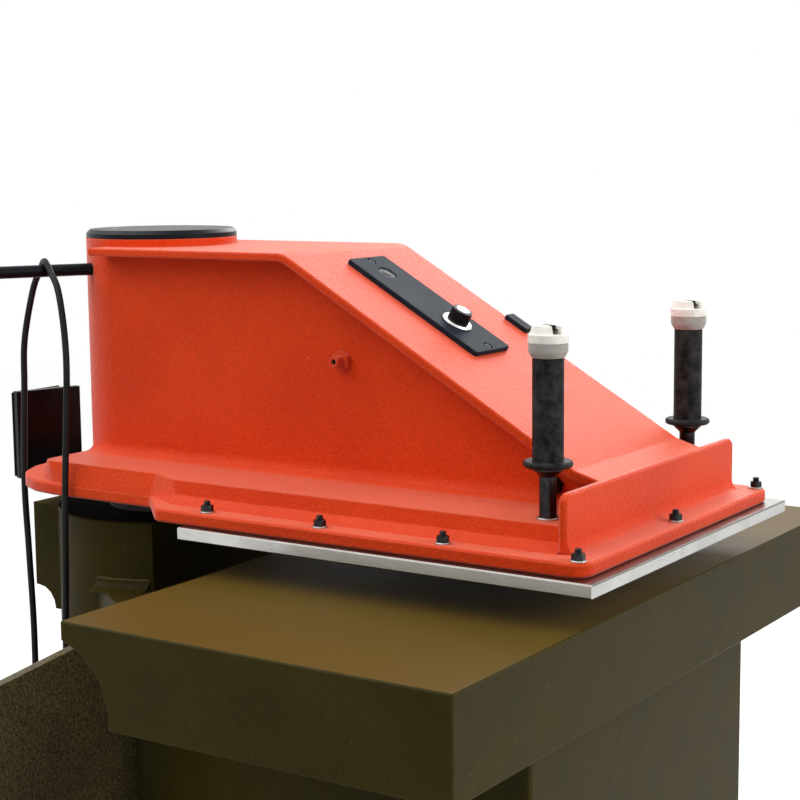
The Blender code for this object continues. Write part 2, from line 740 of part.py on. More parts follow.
def build_power_pack():
    near = -half_width + TANK_INSET
    inner = near + TANK_WIDTH
    rear, front = -TANK_REAR, TANK_FRONT
    tank_top = base_foot + TANK_HEIGHT
    tank = box("oil_tank", (near, inner), (rear, front), (base_foot, tank_top), GREY_PAINT)
    bevel(tank, TANK_SHEET, 2)
    hollow = box(
        "tank_hollow", (near + TANK_SHEET, inner - TANK_SHEET), (rear + TANK_SHEET, front - TANK_SHEET),
        (base_foot + TANK_SHEET, tank_top - TANK_SHEET), None, cutters)
    filler_at = point(near + (inner - near) / 2, rear + TANK_NECK * 2, 0)
    suction_at = point(inner, -HOUSING_RADIUS - PIPE_INSET, base_foot + PIPE_RADIUS * 2)
    port = bore(
        "suction_port", PIPE_BORE, suction_at - Vector((2 * TANK_SHEET, 0, 0)),
        suction_at + Vector((OVERRUN, 0, 0)), SMALL_STEPS)
    cut(tank, hollow, port)
    cap_top = tank_top + TANK_CAP_RISE
    join(tank, turned("tank_cap", [
        (0, cap_top), (TANK_CAP_RADIUS - TANK_SHEET, cap_top),
        (TANK_CAP_RADIUS, cap_top - TANK_SHEET), (TANK_CAP_RADIUS, tank_top - SINK),
        (0, tank_top - SINK)], None, cutters,
        centre=filler_at, steps=SMALL_STEPS))

    width, depth, height = VALVE_SIZE
    block_at = (inner - VALVE_SIDE_INSET, front - VALVE_FRONT_INSET)
    block_low = tank_top + GAP
    block_top = block_low + height
    valve = box(
        "solenoid_valve", (block_at[0] - width / 2, block_at[0] + width / 2),
        (block_at[1] - depth / 2, block_at[1] + depth / 2), (block_low, block_top), STEEL)
    bevel(valve, TANK_SHEET / 2)
    join(valve, turned("solenoid_coil", [
        (0, block_top + COIL_LENGTH), (COIL_RADIUS / 2, block_top + COIL_LENGTH),
        (COIL_RADIUS / 2, block_top + COIL_LENGTH - COIL_NUT),
        (COIL_RADIUS, block_top + COIL_LENGTH - COIL_NUT),
        (COIL_RADIUS, block_top - SINK), (0, block_top - SINK)], None, cutters,
        centre=point(*block_at, 0), steps=SMALL_STEPS))

    # Motor, feet to the rear, with its pump ahead of it
    across = half_width - MOTOR_INSET
    forward = -MOTOR_MIDDLE
    axle = MOTOR_SHAFT_HEIGHT
    motor_rear = forward - MOTOR_LENGTH / 2
    motor_front = forward + MOTOR_LENGTH / 2
    outline = []
    for k in range(MOTOR_FINS * 4):
        radius = MOTOR_RADIUS + (MOTOR_FIN if k % 4 in (1, 2) else 0)
        angle = math.pi * (2 * k + 1) / (MOTOR_FINS * 4)
        outline.append((across + radius * math.cos(angle), axle + radius * math.sin(angle)))
    motor = prism("electric_motor", outline, motor_rear, motor_front, GREY_PAINT, plane="front")
    for name, start, end in (
            ("rear_shield", motor_rear - MOTOR_RADIUS / 3, motor_rear + SINK),
            ("front_shield", motor_front - SINK, motor_front + MOTOR_RADIUS / 5)):
        join(motor, cylinder(
            f"motor_{name}", MOTOR_RADIUS + MOTOR_FIN / 2, point(across, start, axle),
            point(across, end, axle), None, cutters, ROUND_STEPS))
    for side in (-1, 1):
        middle = across + side * MOTOR_FOOT_SPAN
        join(motor, box(
            f"motor_foot_{side}", (middle - MOTOR_FOOT, middle + MOTOR_FOOT),
            (forward - MOTOR_LENGTH / 3, forward + MOTOR_LENGTH / 3),
            (base_foot, axle - MOTOR_RADIUS / 3), None, cutters))
    shield = motor_front + MOTOR_RADIUS / 5
    pump_rear = shield + COUPLING_LENGTH + GAP
    pump_front = pump_rear + PUMP_LENGTH
    pump = cylinder(
        "gear_pump", PUMP_RADIUS, point(across, pump_rear, axle), point(across, pump_front, axle),
        DARK_STEEL)
    join(pump, cylinder(
        "pump_coupling", COUPLING_RADIUS, point(across, shield + GAP, axle),
        point(across, pump_rear + SINK, axle), None, cutters))
    join(pump, box(
        "pump_foot", (across - PUMP_RADIUS / 2, across + PUMP_RADIUS / 2),
        (pump_rear + PUMP_LENGTH / 4, pump_front - PUMP_LENGTH / 4), (base_foot, axle), None, cutters))

    # Pressure hose from the valve block through the window to the cylinder
    hose_height = WINDOW_HEIGHT
    block_side = block_at[0] + width / 2 + GAP
    port = block_low + height / 2
    route = [
        point(block_side, block_at[1], port),
        point(block_side + HOSE_LEAD, block_at[1], port),
        point(block_side + HOSE_OUT, block_at[1] - HOSE_BACK, port - height),
        point(block_side + HOSE_OUT, -HOUSING_RADIUS - HOSE_CLEAR, hose_height + HOSE_BACK),
        point(block_side + width, -HOUSING_RADIUS - HOSE_SWEEP, hose_height + HOSE_CLEAR),
        point(-HOSE_RADIUS * 4, -HOUSING_RADIUS - HOSE_TURN, hose_height),
        point(0, -HOUSING_RADIUS - HOSE_CLEAR, hose_height),
        point(0, -CYLINDER_RADIUS - GAP, hose_height)]
    rod("pressure_hose", smooth_path(route, 3, square_ends=True), HOSE_RADIUS, RUBBER)

    # Suction pipe from the tank's foot to the pump
    low = base_foot + PIPE_RADIUS * 2
    pump_side = across - PUMP_RADIUS - GAP
    pump_mid = (pump_rear + pump_front) / 2
    behind = -HOUSING_RADIUS - PIPE_INSET
    riser = pump_side - PIPE_INSET
    corners = [
        point(inner + GAP, behind, low), point(riser, behind, low), point(riser, pump_mid, low),
        point(riser, pump_mid, axle), point(pump_side, pump_mid, axle)]
    rod("suction_pipe", elbowed(corners, PIPE_BEND, PIPE_STEPS), PIPE_RADIUS, STEEL)


def elbowed(corners, bend, steps):
    # Pipe route whose square corners are rounded, each in its own plane
    route = [corners[0]]
    for before, corner, after in zip(corners, corners[1:], corners[2:]):
        reach = min(bend, (corner - before).length / 2, (after - corner).length / 2)
        arriving = (corner - before).normalized()
        leaving = (after - corner).normalized()
        centre = corner - reach * arriving + reach * leaving
        for k in range(steps + 1):
            turn = math.pi / 2 * k / steps
            route.append(
                centre + reach * (math.sin(turn) * arriving - math.cos(turn) * leaving))
    return route + [corners[-1]]


def smooth_path(route, between, square_ends=False):
    # Points on a smooth curve through the route's own points
    points = [route[0]]
    count = len(route)
    for i in range(count - 1):
        before = route[max(i - 1, 0)]
        start, end = route[i], route[i + 1]
        after = route[min(i + 2, count - 1)]
        straight = square_ends and i in (0, count - 2)
        for k in range(1, between + 1):
            t = k / between
            if straight:
                points.append(start.lerp(end, t))
                continue
            points.append((
                2 * start + (end - before) * t
                + (2 * before - 5 * start + 4 * end - after) * t * t
                + (3 * start - before - 3 * end + after) * t ** 3) / 2)
    return points


# Pillar, bearing and nut, which rise and fall but do not turn

SHOULDER_RISE = 0.040       # pillar shoulder above the strike plate's foot
SPIGOT_RADIUS = 0.045       # pillar inside the hub
NUT_THREAD = 0.036
NUT_THICKNESS = 0.012
BEARING_THICKNESS = 0.011
HUB_BUSH_WALL = 0.007
BOSS_RISE = 0.010           # hub boss above the flat top
NUT_SEAT_DEPTH = 0.020

shoulder = PLATE_FOOT + SHOULDER_RISE
boss_top = ARM_TOP + BOSS_RISE
nut_seat = boss_top - NUT_SEAT_DEPTH
bearing_radius = PILLAR_RADIUS
hub_bore = SPIGOT_RADIUS + SLIDE + HUB_BUSH_WALL + GAP


def build_pillar():
    neck = nut_seat + SLIDE
    top = neck + NUT_THICKNESS + GAP
    pillar = turned("pillar", [
        (0, top), (NUT_THREAD, top), (NUT_THREAD, neck), (SPIGOT_RADIUS, neck),
        (SPIGOT_RADIUS, shoulder), (PILLAR_RADIUS, shoulder), (PILLAR_RADIUS, PILLAR_FOOT),
        (0, PILLAR_FOOT)], STEEL)
    bearing = bush(
        "thrust_bearing", SPIGOT_RADIUS + GAP, bearing_radius, shoulder + GAP,
        shoulder + BEARING_THICKNESS, STEEL)
    nut = bush(
        "retaining_nut", NUT_THREAD + GAP, bearing_radius, neck + GAP,
        neck + NUT_THICKNESS, DARK_STEEL)
    carry(stroke_axis, pillar, bearing, nut)


def build_hub_bush():
    inner = SPIGOT_RADIUS + SLIDE
    low = shoulder + BEARING_THICKNESS + SLIDE + GAP
    carry(swing_axis, bush("hub_bush", inner, inner + HUB_BUSH_WALL, low, nut_seat - GAP))


# Arm casting

FLANGE_THICKNESS = 0.016
FLANGE_INSET = 0.011        # from the strike plate's side to the flange's
FLANGE_HALF = PLATE_WIDTH / 2 - FLANGE_INSET
FLANGE_SETBACK = 0.0155     # behind the strike plate's front edge
FLANGE_FRONT = PLATE_REAR + PLATE_DEPTH - FLANGE_SETBACK
FLANGE_CORNER = 0.022
FLANGE_EDGE = 0.0025
TAIL_HALF = 0.1885
TAIL_REAR = 0.151
TAIL_CORNER = 0.117
WAIST = 0.134               # forward of the axis, where the foot starts to widen
SHOULDER = 0.193            # and where it has its full width
WAIST_RADIUS = 0.014
PAD_RISE = 0.027
PAD_TAIL_HALF = 0.181
PAD_INSET = 0.044
PAD_HALF = FLANGE_HALF - PAD_INSET
PAD_REAR = 0.055
PAD_REAR_CORNER = 0.014
PAD_FOOT_REAR = 0.114       # the rear end slopes out to a rounder foot
PAD_FOOT_CORNER = 0.110
PAD_SPREAD = 0.016          # how far the pad's side runs out over the flange
TOP_INSET = 0.072           # from the pad's side to the top flange's
TOP_HALF = PAD_HALF - TOP_INSET
WEB_INSET = 0.031
WEB_HALF = TOP_HALF - WEB_INSET
WEB_WALL = 0.014
WEB_COVE = 0.016
TOP_THICKNESS = 0.010
TOP_EDGE = 0.0015
TOP_REAR = 0.012            # top flange behind the axis
BEND = 0.3014               # where the flat top starts to slope
BEND_RADIUS = 0.040
SLOPE = math.radians(30)
RIB_SETBACK = 0.0472        # rear face of the rib behind the flange's front edge
RIB_REAR = FLANGE_FRONT - RIB_SETBACK
RIB_THICKNESS = 0.010
RIB_INSET = 0.0312
RIB_HALF = FLANGE_HALF - RIB_INSET
SLOPE_STOP = 0.0263         # behind the rib, where the sloping top ends
SLOPE_END = RIB_REAR - SLOPE_STOP
RIB_HEIGHT = 0.0633         # above the flange
RIB_CORNER = 0.010
RIB_COVE = 0.012
CAVITY_REAR = 0.116
CAVITY_STOP = 0.0183        # behind the rib
CAVITY_FRONT = RIB_REAR - CAVITY_STOP

flange_top = ARM_FOOT + FLANGE_THICKNESS
pad_top = flange_top + PAD_RISE
rib_top = flange_top + RIB_HEIGHT


def slope_height(forward):
    return ARM_TOP - (forward - BEND) * math.tan(SLOPE)


def slope_frame(across, forward):
    # A frame on the slope: X across, Y up the slope, Z away from it
    frame = Matrix.Rotation(SLOPE, 4, "X")
    frame.translation = point(across, forward, slope_height(forward))
    return frame


def flange_outline():
    near = [
        (-TAIL_HALF, -TAIL_REAR, TAIL_CORNER), (-TAIL_HALF, WAIST, WAIST_RADIUS),
        (-FLANGE_HALF, SHOULDER, WAIST_RADIUS), (-FLANGE_HALF, FLANGE_FRONT, FLANGE_CORNER)]
    return rounded(mirrored(near))


def pad_ring(tail_half, half, rear, corner, shift):
    near = [
        (-tail_half, -rear, corner), (-tail_half, WAIST + shift, WAIST_RADIUS),
        (-half, SHOULDER - shift * 2, WAIST_RADIUS), (-half, RIB_REAR + SINK, 0)]
    return rounded(mirrored(near))


def pad_rings():
    # Foot, knee and top of the pad: its side rises steeply from a short slope
    tail = TAIL_HALF - SINK / 2
    knee_share = 0.35
    spread_share = 0.22
    foot_ring = pad_ring(tail, PAD_HALF + PAD_SPREAD, PAD_FOOT_REAR, PAD_FOOT_CORNER, 0)
    knee_ring = pad_ring(
        tail + (PAD_TAIL_HALF - tail) * knee_share, PAD_HALF + PAD_SPREAD * spread_share,
        PAD_FOOT_REAR + (PAD_REAR - PAD_FOOT_REAR) * knee_share,
        PAD_FOOT_CORNER + (PAD_REAR_CORNER - PAD_FOOT_CORNER) * knee_share, SINK)
    top_ring = pad_ring(PAD_TAIL_HALF, PAD_HALF, PAD_REAR, PAD_REAR_CORNER, SINK * 4)
    return [
        (foot_ring, flange_top - SINK * 2), (foot_ring, flange_top),
        (knee_ring, flange_top + PAD_RISE * knee_share), (top_ring, pad_top)]


def top_strip():
    # Side view of the flat and sloping top flange
    drop = TOP_THICKNESS / math.cos(SLOPE)
    inner_bend = BEND - TOP_THICKNESS * math.tan(SLOPE / 2)
    lip = RIB_REAR + RIB_THICKNESS / 2
    knee = SLOPE_END - TOP_THICKNESS / 4
    return rounded([
        (-TOP_REAR, ARM_TOP, 0), (BEND, ARM_TOP, BEND_RADIUS),
        (SLOPE_END, slope_height(SLOPE_END), BEND_RADIUS / 2), (lip, rib_top - SINK / 5, 0),
        (lip, rib_top - TOP_THICKNESS, 0), (knee, slope_height(SLOPE_END) - drop, 0),
        (inner_bend, ARM_TOP - TOP_THICKNESS, BEND_RADIUS - TOP_THICKNESS),
        (-TOP_REAR, ARM_TOP - TOP_THICKNESS, 0)])


def web_side(rear, front, foot, roof):
    # Side view of the box under the top flange, its roof measured down from it
    along = math.cos(SLOPE)
    return [
        (rear, foot), (rear, ARM_TOP - roof),
        (BEND - roof * math.tan(SLOPE / 2), ARM_TOP - roof),
        (front, slope_height(front) - roof / along), (front, foot)]


def build_arm():
    arm = prism("arm_casting", flange_outline(), ARM_FOOT, flange_top, ORANGE)
    bevel(arm, FLANGE_EDGE)
    join(arm, loft("arm_pad", pad_rings(), None, cutters))
    hub = turned("arm_hub", [
        (0, boss_top), (HUB_RADIUS, boss_top), (HUB_RADIUS, flange_top), (0, flange_top)],
        None, cutters, steps=ROUND_STEPS + 8)
    join(arm, hub)
    box_side = web_side(0, RIB_REAR + SINK, flange_top + SINK, TOP_THICKNESS / 2)
    join(arm, prism("arm_webs", box_side, -WEB_HALF, WEB_HALF, None, cutters, plane="side"))
    for side in (-1, 1):
        strip = [(side * (WEB_HALF + out), pad_top + up) for out, up in cove(WEB_COVE)]
        join(arm, prism(
            f"web_cove_{side}", strip, 0, RIB_REAR + SINK, None, cutters, plane="front"))
    hub_cove = [(HUB_RADIUS + out, pad_top + up) for out, up in cove(WEB_COVE)]
    foot_ring = turned(
        "hub_cove", list(reversed(hub_cove)), None, cutters, steps=ROUND_STEPS + 8, ring=True)
    for name, span in (("front", (SINK / 2, TAIL_HALF)), ("rear", (-TAIL_HALF, -PAD_REAR + SINK))):
        cut(foot_ring, box(
            f"hub_cove_{name}", (-TAIL_HALF, TAIL_HALF), span,
            (pad_top - WEB_COVE, pad_top + 2 * WEB_COVE), None, cutters))
    join(arm, foot_ring)
    top = prism("arm_top_flange", top_strip(), -TOP_HALF, TOP_HALF, None, cutters, plane="side")
    bevel(top, TOP_EDGE)
    join(arm, top)
    rib_face = rounded([
        (-RIB_HALF, flange_top - SINK, 0), (-RIB_HALF, rib_top, RIB_CORNER),
        (RIB_HALF, rib_top, RIB_CORNER), (RIB_HALF, flange_top - SINK, 0)])
    rib = prism(
        "arm_rib", rib_face, RIB_REAR, RIB_REAR + RIB_THICKNESS, None, cutters, plane="front")
    bevel(rib, FLANGE_EDGE)
    join(arm, rib)
    strip = [(RIB_REAR + RIB_THICKNESS + out, flange_top + up) for out, up in cove(RIB_COVE)]
    join(arm, prism(
        "rib_cove", strip, -RIB_HALF + RIB_CORNER / 4, RIB_HALF - RIB_CORNER / 4, None, cutters,
        plane="side"))

    inside = web_side(CAVITY_REAR, CAVITY_FRONT, ARM_FOOT - OVERRUN, TOP_THICKNESS)
    reach = WEB_HALF - WEB_WALL
    cut(arm, prism("arm_cavity", inside, -reach, reach, None, cutters, plane="side"))
    bearing_seat = bore(
        "bearing_seat", bearing_radius + 2 * GAP, point(0, 0, ARM_FOOT - OVERRUN),
        point(0, 0, shoulder + BEARING_THICKNESS + SLIDE), ROUND_STEPS)
    hub_hole = bore(
        "hub_hole", hub_bore, point(0, 0, ARM_FOOT - OVERRUN), point(0, 0, boss_top + OVERRUN),
        ROUND_STEPS)
    nut_pocket = bore(
        "nut_pocket", bearing_radius + SLIDE, point(0, 0, nut_seat),
        point(0, 0, boss_top + OVERRUN), ROUND_STEPS)
    cut(arm, bearing_seat, hub_hole, nut_pocket)
    for k, (across, forward) in enumerate(stud_places()):
        cut(arm, bore(
            f"stud_hole_{k}", STUD_RADIUS + GAP * 2, point(across, forward, ARM_FOOT - OVERRUN),
            point(across, forward, flange_top + RIB_COVE)))
    for side in (-1, 1):
        handle = point(side * HANDLE_HALF, HANDLE_FORWARD, pad_top)
        cut(arm, bore(
            f"rod_hole_{side}", SPIGOT + GAP, handle - Vector((0, 0, SPIGOT_DEPTH + GAP)),
            handle + Vector((0, 0, OVERRUN)), SMALL_STEPS))
        start = point(side * (WEB_HALF - FITTING_THREAD_LENGTH - GAP), FITTING_FORWARD, fitting_height)
        end = point(side * (WEB_HALF + OVERRUN), FITTING_FORWARD, fitting_height)
        cut(arm, bore(f"fitting_hole_{side}", FITTING_STUB + GAP, start, end, SMALL_STEPS))
    cut(arm, bore(
        "bar_hole", BAR_RADIUS + GAP, bar_point(BAR_START - GAP), bar_point(HUB_RADIUS + OVERRUN),
        SMALL_STEPS))
    return arm


# Column cap on the hub

CAP_RADIUS = 0.0997
CAP_THICKNESS = 0.0105
CAP_CHAMFER = 0.0048
CAP_SCREWS = 1
CAP_SCREW_CIRCLE = 0.0637
CAP_SCREW_ANGLE = math.radians(-27)
CAP_HEAD = 0.0050
CAP_HEAD_INSET = 0.0015
CAP_SOCKET = 0.0026
CAP_SOCKET_DEPTH = 0.0045


def cap_screw_at(k):
    angle = CAP_SCREW_ANGLE + 2 * math.pi * k / CAP_SCREWS
    return Vector((CAP_SCREW_CIRCLE * math.sin(angle), CAP_SCREW_CIRCLE * math.cos(angle), 0))


def build_cap():
    low = boss_top + GAP
    top = low + CAP_THICKNESS
    cap = turned("column_cap", [
        (0, top), (CAP_RADIUS - CAP_CHAMFER, top), (CAP_RADIUS, top - CAP_CHAMFER),
        (CAP_RADIUS, low), (0, low)], DARK_STEEL, steps=ROUND_STEPS + 8)
    for k in range(CAP_SCREWS):
        spot = cap_screw_at(k)
        cut(cap, bore(
            f"cap_counterbore_{k}", CAP_HEAD, spot + Vector((0, 0, top - CAP_HEAD_INSET)),
            spot + Vector((0, 0, top + OVERRUN))))
        cut(cap, bore(
            f"cap_socket_{k}", CAP_SOCKET, spot + Vector((0, 0, top - CAP_SOCKET_DEPTH)),
            spot + Vector((0, 0, top + OVERRUN)), 6))
    carry(swing_axis, cap)


# Strike plate and its studs, each with its nut and washer in one piece

STUD_RADIUS = 0.004
STUD_INSET = 0.0138         # from the flange's edge
STUD_HALF = FLANGE_HALF - STUD_INSET
STUD_LEAD = 0.0269          # rearmost studs, forward of the strike plate's rear edge
STUD_FIRST = PLATE_REAR + STUD_LEAD
STUD_ROWS = 4
STUD_PITCH = (FLANGE_FRONT - STUD_INSET - STUD_FIRST) / (STUD_ROWS - 1)
STUD_DEPTH = 0.011
STUD_TIP = 0.005
STUD_CHAMFER = 0.0008
WASHER_RADIUS = 0.009
WASHER_THICKNESS = 0.0016
NUT_RADIUS = 0.0075         # across corners
NUT_HEIGHT = 0.0068


def stud_places():
    places = []
    for side in (-1, 1):
        for row in range(STUD_ROWS):
            places.append((side * STUD_HALF, STUD_FIRST + STUD_PITCH * row))
    places.append((0, STUD_FIRST + STUD_PITCH * (STUD_ROWS - 1)))
    return places


def build_strike_plate():
    half = PLATE_WIDTH / 2
    plate = box(
        "strike_plate", (-half, half), (PLATE_REAR, PLATE_REAR + PLATE_DEPTH),
        (PLATE_FOOT, PLATE_TOP), STEEL)
    bevel(plate, PLATE_THICKNESS / 10)
    washer_low = flange_top + GAP
    nut_low = washer_low + WASHER_THICKNESS
    nut_top = nut_low + NUT_HEIGHT
    tip = nut_top + STUD_TIP
    foot = PLATE_TOP - STUD_DEPTH
    for k, (across, forward) in enumerate(stud_places()):
        spot = point(across, forward, 0)
        cut(plate, bore(
            f"plate_thread_{k}", STUD_RADIUS + GAP, spot + Vector((0, 0, foot - GAP)),
            spot + Vector((0, 0, PLATE_TOP + OVERRUN))))
        stud = turned(f"plate_stud_{k + 1}", [
            (0, tip), (STUD_RADIUS - STUD_CHAMFER, tip), (STUD_RADIUS, tip - STUD_CHAMFER),
            (STUD_RADIUS, nut_low), (WASHER_RADIUS, nut_low), (WASHER_RADIUS, washer_low),
            (STUD_RADIUS, washer_low), (STUD_RADIUS, foot), (0, foot)], DARK_STEEL,
            centre=spot, steps=BORE_STEPS)
        join(stud, cylinder(
            f"nut_{k}", NUT_RADIUS, spot + Vector((0, 0, nut_low - SINK / 2)),
            spot + Vector((0, 0, nut_top)), None, cutters, 6))
        carry(swing_axis, stud)
    carry(swing_axis, plate)


# Handles with thumb buttons

HANDLE_INSET = 0.0272       # from the pad's side
HANDLE_HALF = PAD_HALF - HANDLE_INSET
HANDLE_SETBACK = 0.0335     # behind the rib
HANDLE_FORWARD = RIB_REAR - HANDLE_SETBACK
SPIGOT = 0.006
SPIGOT_DEPTH = 0.018
ROD_WASHER = 0.0125
ROD_WASHER_THICKNESS = 0.0016
HANDLE_ROD = 0.0095
COLLAR_RISE = 0.0485        # collar above the pad
COLLAR_HEIGHT = 0.0075
COLLAR_RADIUS = 0.017
COLLAR_FOOT = 0.0119
CORE_RADIUS = 0.008
GUARD_RADIUS = 0.027
GUARD_THICKNESS = 0.0068
GUARD_EDGE = 0.0020
GRIP_RADIUS = 0.017
GRIP_EDGE = 0.0010
GRIP_LENGTH = 0.1160
RING_HEIGHT = 0.0152
RING_RADIUS = 0.0214
RING_TURN = 0.0015
CAP_BASE = 0.0108
CAP_RIM = 0.0218
CROWN_RADIUS = 0.0177
CROWN_TAPER = 0.0014
CROWN_HEIGHT = 0.0082
CROWN_EDGE = 0.0018
RIM_EDGE = 0.0018
CHANNEL = 0.0100            # width of the channel that holds the button
CHANNEL_SINK = 0.0010       # its floor below the rim
CHANNEL_TURN = math.radians(-31)
BUTTON_WIDTH = 0.0084
BUTTON_LENGTH = 0.0136
BUTTON_HEIGHT = 0.0052
BUTTON_FOOT_LENGTH = 0.0260
BUTTON_FOOT = 0.0012
BUTTON_STEM = 0.0035
BUTTON_TRAVEL = 0.0030
STEM_DEPTH = 0.0100


def build_handle(name, side):
    spot = point(side * HANDLE_HALF, HANDLE_FORWARD, 0)
    washer_low = pad_top + GAP
    rod_low = washer_low + ROD_WASHER_THICKNESS
    collar_low = pad_top + COLLAR_RISE
    collar_top = collar_low + COLLAR_HEIGHT
    grip_low = collar_top + GAP
    guard_top = grip_low + GUARD_THICKNESS
    grip_top = grip_low + GRIP_LENGTH
    handle_rod = turned(f"handle_rod_{name}", [
        (0, grip_top), (CORE_RADIUS, grip_top), (CORE_RADIUS, collar_top), (COLLAR_RADIUS, collar_top),
        (COLLAR_RADIUS, collar_top - COLLAR_HEIGHT / 3), (COLLAR_FOOT, collar_low),
        (HANDLE_ROD, collar_low - COLLAR_HEIGHT / 3), (HANDLE_ROD, rod_low), (ROD_WASHER, rod_low),
        (ROD_WASHER, washer_low), (SPIGOT, washer_low),
        (SPIGOT, pad_top - SPIGOT_DEPTH), (0, pad_top - SPIGOT_DEPTH)], DARK_STEEL,
        centre=spot, steps=SMALL_STEPS + 4)
    bore_radius = CORE_RADIUS + GAP
    grip = turned(f"hand_grip_{name}", [
        (bore_radius, grip_top), (GRIP_RADIUS - GRIP_EDGE, grip_top),
        (GRIP_RADIUS, grip_top - GRIP_EDGE), (GRIP_RADIUS, guard_top),
        (GUARD_RADIUS - GUARD_EDGE, guard_top), (GUARD_RADIUS, guard_top - GUARD_EDGE),
        (GUARD_RADIUS, grip_low + GUARD_EDGE), (GUARD_RADIUS - GUARD_EDGE, grip_low),
        (bore_radius, grip_low)], RUBBER, centre=spot, steps=SMALL_STEPS + 4, ring=True)
    ring_low = grip_top + GAP
    ring_top = ring_low + RING_HEIGHT
    stem_hole = BUTTON_STEM + SLIDE
    ring = turned(f"grip_ring_{name}", [
        (stem_hole, ring_top), (RING_RADIUS, ring_top), (RING_RADIUS, ring_low + RING_HEIGHT / 2),
        (RING_RADIUS - RING_TURN, ring_low + RING_HEIGHT / 4), (GRIP_RADIUS + SINK / 2, ring_low),
        (stem_hole, ring_low)], GREY_PLASTIC, centre=spot, steps=SMALL_STEPS + 4, ring=True)
    cap_low = ring_top + GAP
    cap_top = cap_low + CAP_BASE
    crown_top = cap_top + CROWN_HEIGHT
    guard = turned(f"button_guard_{name}", [
        (0, crown_top), (CROWN_RADIUS - CROWN_EDGE, crown_top), (CROWN_RADIUS, crown_top - CROWN_EDGE),
        (CROWN_RADIUS + CROWN_TAPER, cap_top + SINK), (CAP_RIM - RIM_EDGE, cap_top),
        (CAP_RIM, cap_top - RIM_EDGE), (CAP_RIM, cap_low + SINK), (CAP_RIM - SINK / 2, cap_low),
        (0, cap_low)], WHITE_PLASTIC, centre=spot, steps=SMALL_STEPS + 4)
    turn = Matrix.Rotation(CHANNEL_TURN, 4, "Z")
    turn.translation = spot
    floor = cap_top - CHANNEL_SINK
    cut(guard, framed(box(
        f"channel_{name}", (-CHANNEL / 2, CHANNEL / 2), (-CAP_RIM, CAP_RIM),
        (floor, crown_top + OVERRUN), None, cutters), turn))
    cut(guard, bore(
        f"stem_hole_{name}", stem_hole, spot + Vector((0, 0, cap_low - OVERRUN)),
        spot + Vector((0, 0, crown_top + OVERRUN)), BORE_STEPS))
    carry(swing_axis, handle_rod, grip, ring, guard)

    bar_low = floor + BUTTON_TRAVEL + SINK
    button = framed(box(
        f"thumb_button_{name}", (-BUTTON_WIDTH / 2, BUTTON_WIDTH / 2),
        (-BUTTON_LENGTH / 2, BUTTON_LENGTH / 2),
        (bar_low, bar_low + BUTTON_HEIGHT), BLACK_PLASTIC), turn)
    half_width = BUTTON_WIDTH / 2 - SINK / 2
    join(button, framed(box(
        f"button_foot_{name}", (-half_width, half_width),
        (-BUTTON_FOOT_LENGTH / 2, BUTTON_FOOT_LENGTH / 2),
        (bar_low - SINK / 2, bar_low + BUTTON_FOOT), None, cutters), turn))
    join(button, cylinder(
        f"button_stem_{name}", BUTTON_STEM, spot + Vector((0, 0, ring_top - STEM_DEPTH)),
        spot + Vector((0, 0, bar_low + BUTTON_FOOT / 2)), None, cutters, BORE_STEPS))
    carry(axis_empty(f"thumb_axis_{name}", spot + Vector((0, 0, bar_low))), button)


# Control panel on the slope

PANEL_WIDTH = 0.077
PANEL_LENGTH = 0.211
PANEL_THICKNESS = 0.0062
PANEL_CORNER = 0.004
PANEL_FORWARD = 0.4203
PANEL_SCREW_OFFSET = 0.0960
PANEL_SCREW_RECESS = 0.0060
PANEL_SOCKET = 0.0022
PLUG_OFFSET = 0.0690
PLUG_RADIUS = 0.0120
PLUG_DEPTH = 0.0025
KNOB_OFFSET = -0.0456
SKIRT_RADIUS = 0.0195
SKIRT_THICKNESS = 0.0028
SKIRT_EDGE = 0.0020
KNOB_RADIUS = 0.0137
KNOB_TOP_RADIUS = 0.0125
KNOB_HEIGHT = 0.0140
KNOB_CAP_RADIUS = 0.0104
KNOB_CAP_RECESS = 0.0005
KNOB_SHAFT = 0.0030
CLIP_FORWARD = 0.4740
CLIP_LENGTH = 0.0340
CLIP_RISE = 0.0060
CLIP_REACH = 0.0120


def framed(thing, frame):
    thing.matrix_world = frame @ thing.matrix_basis
    return thing


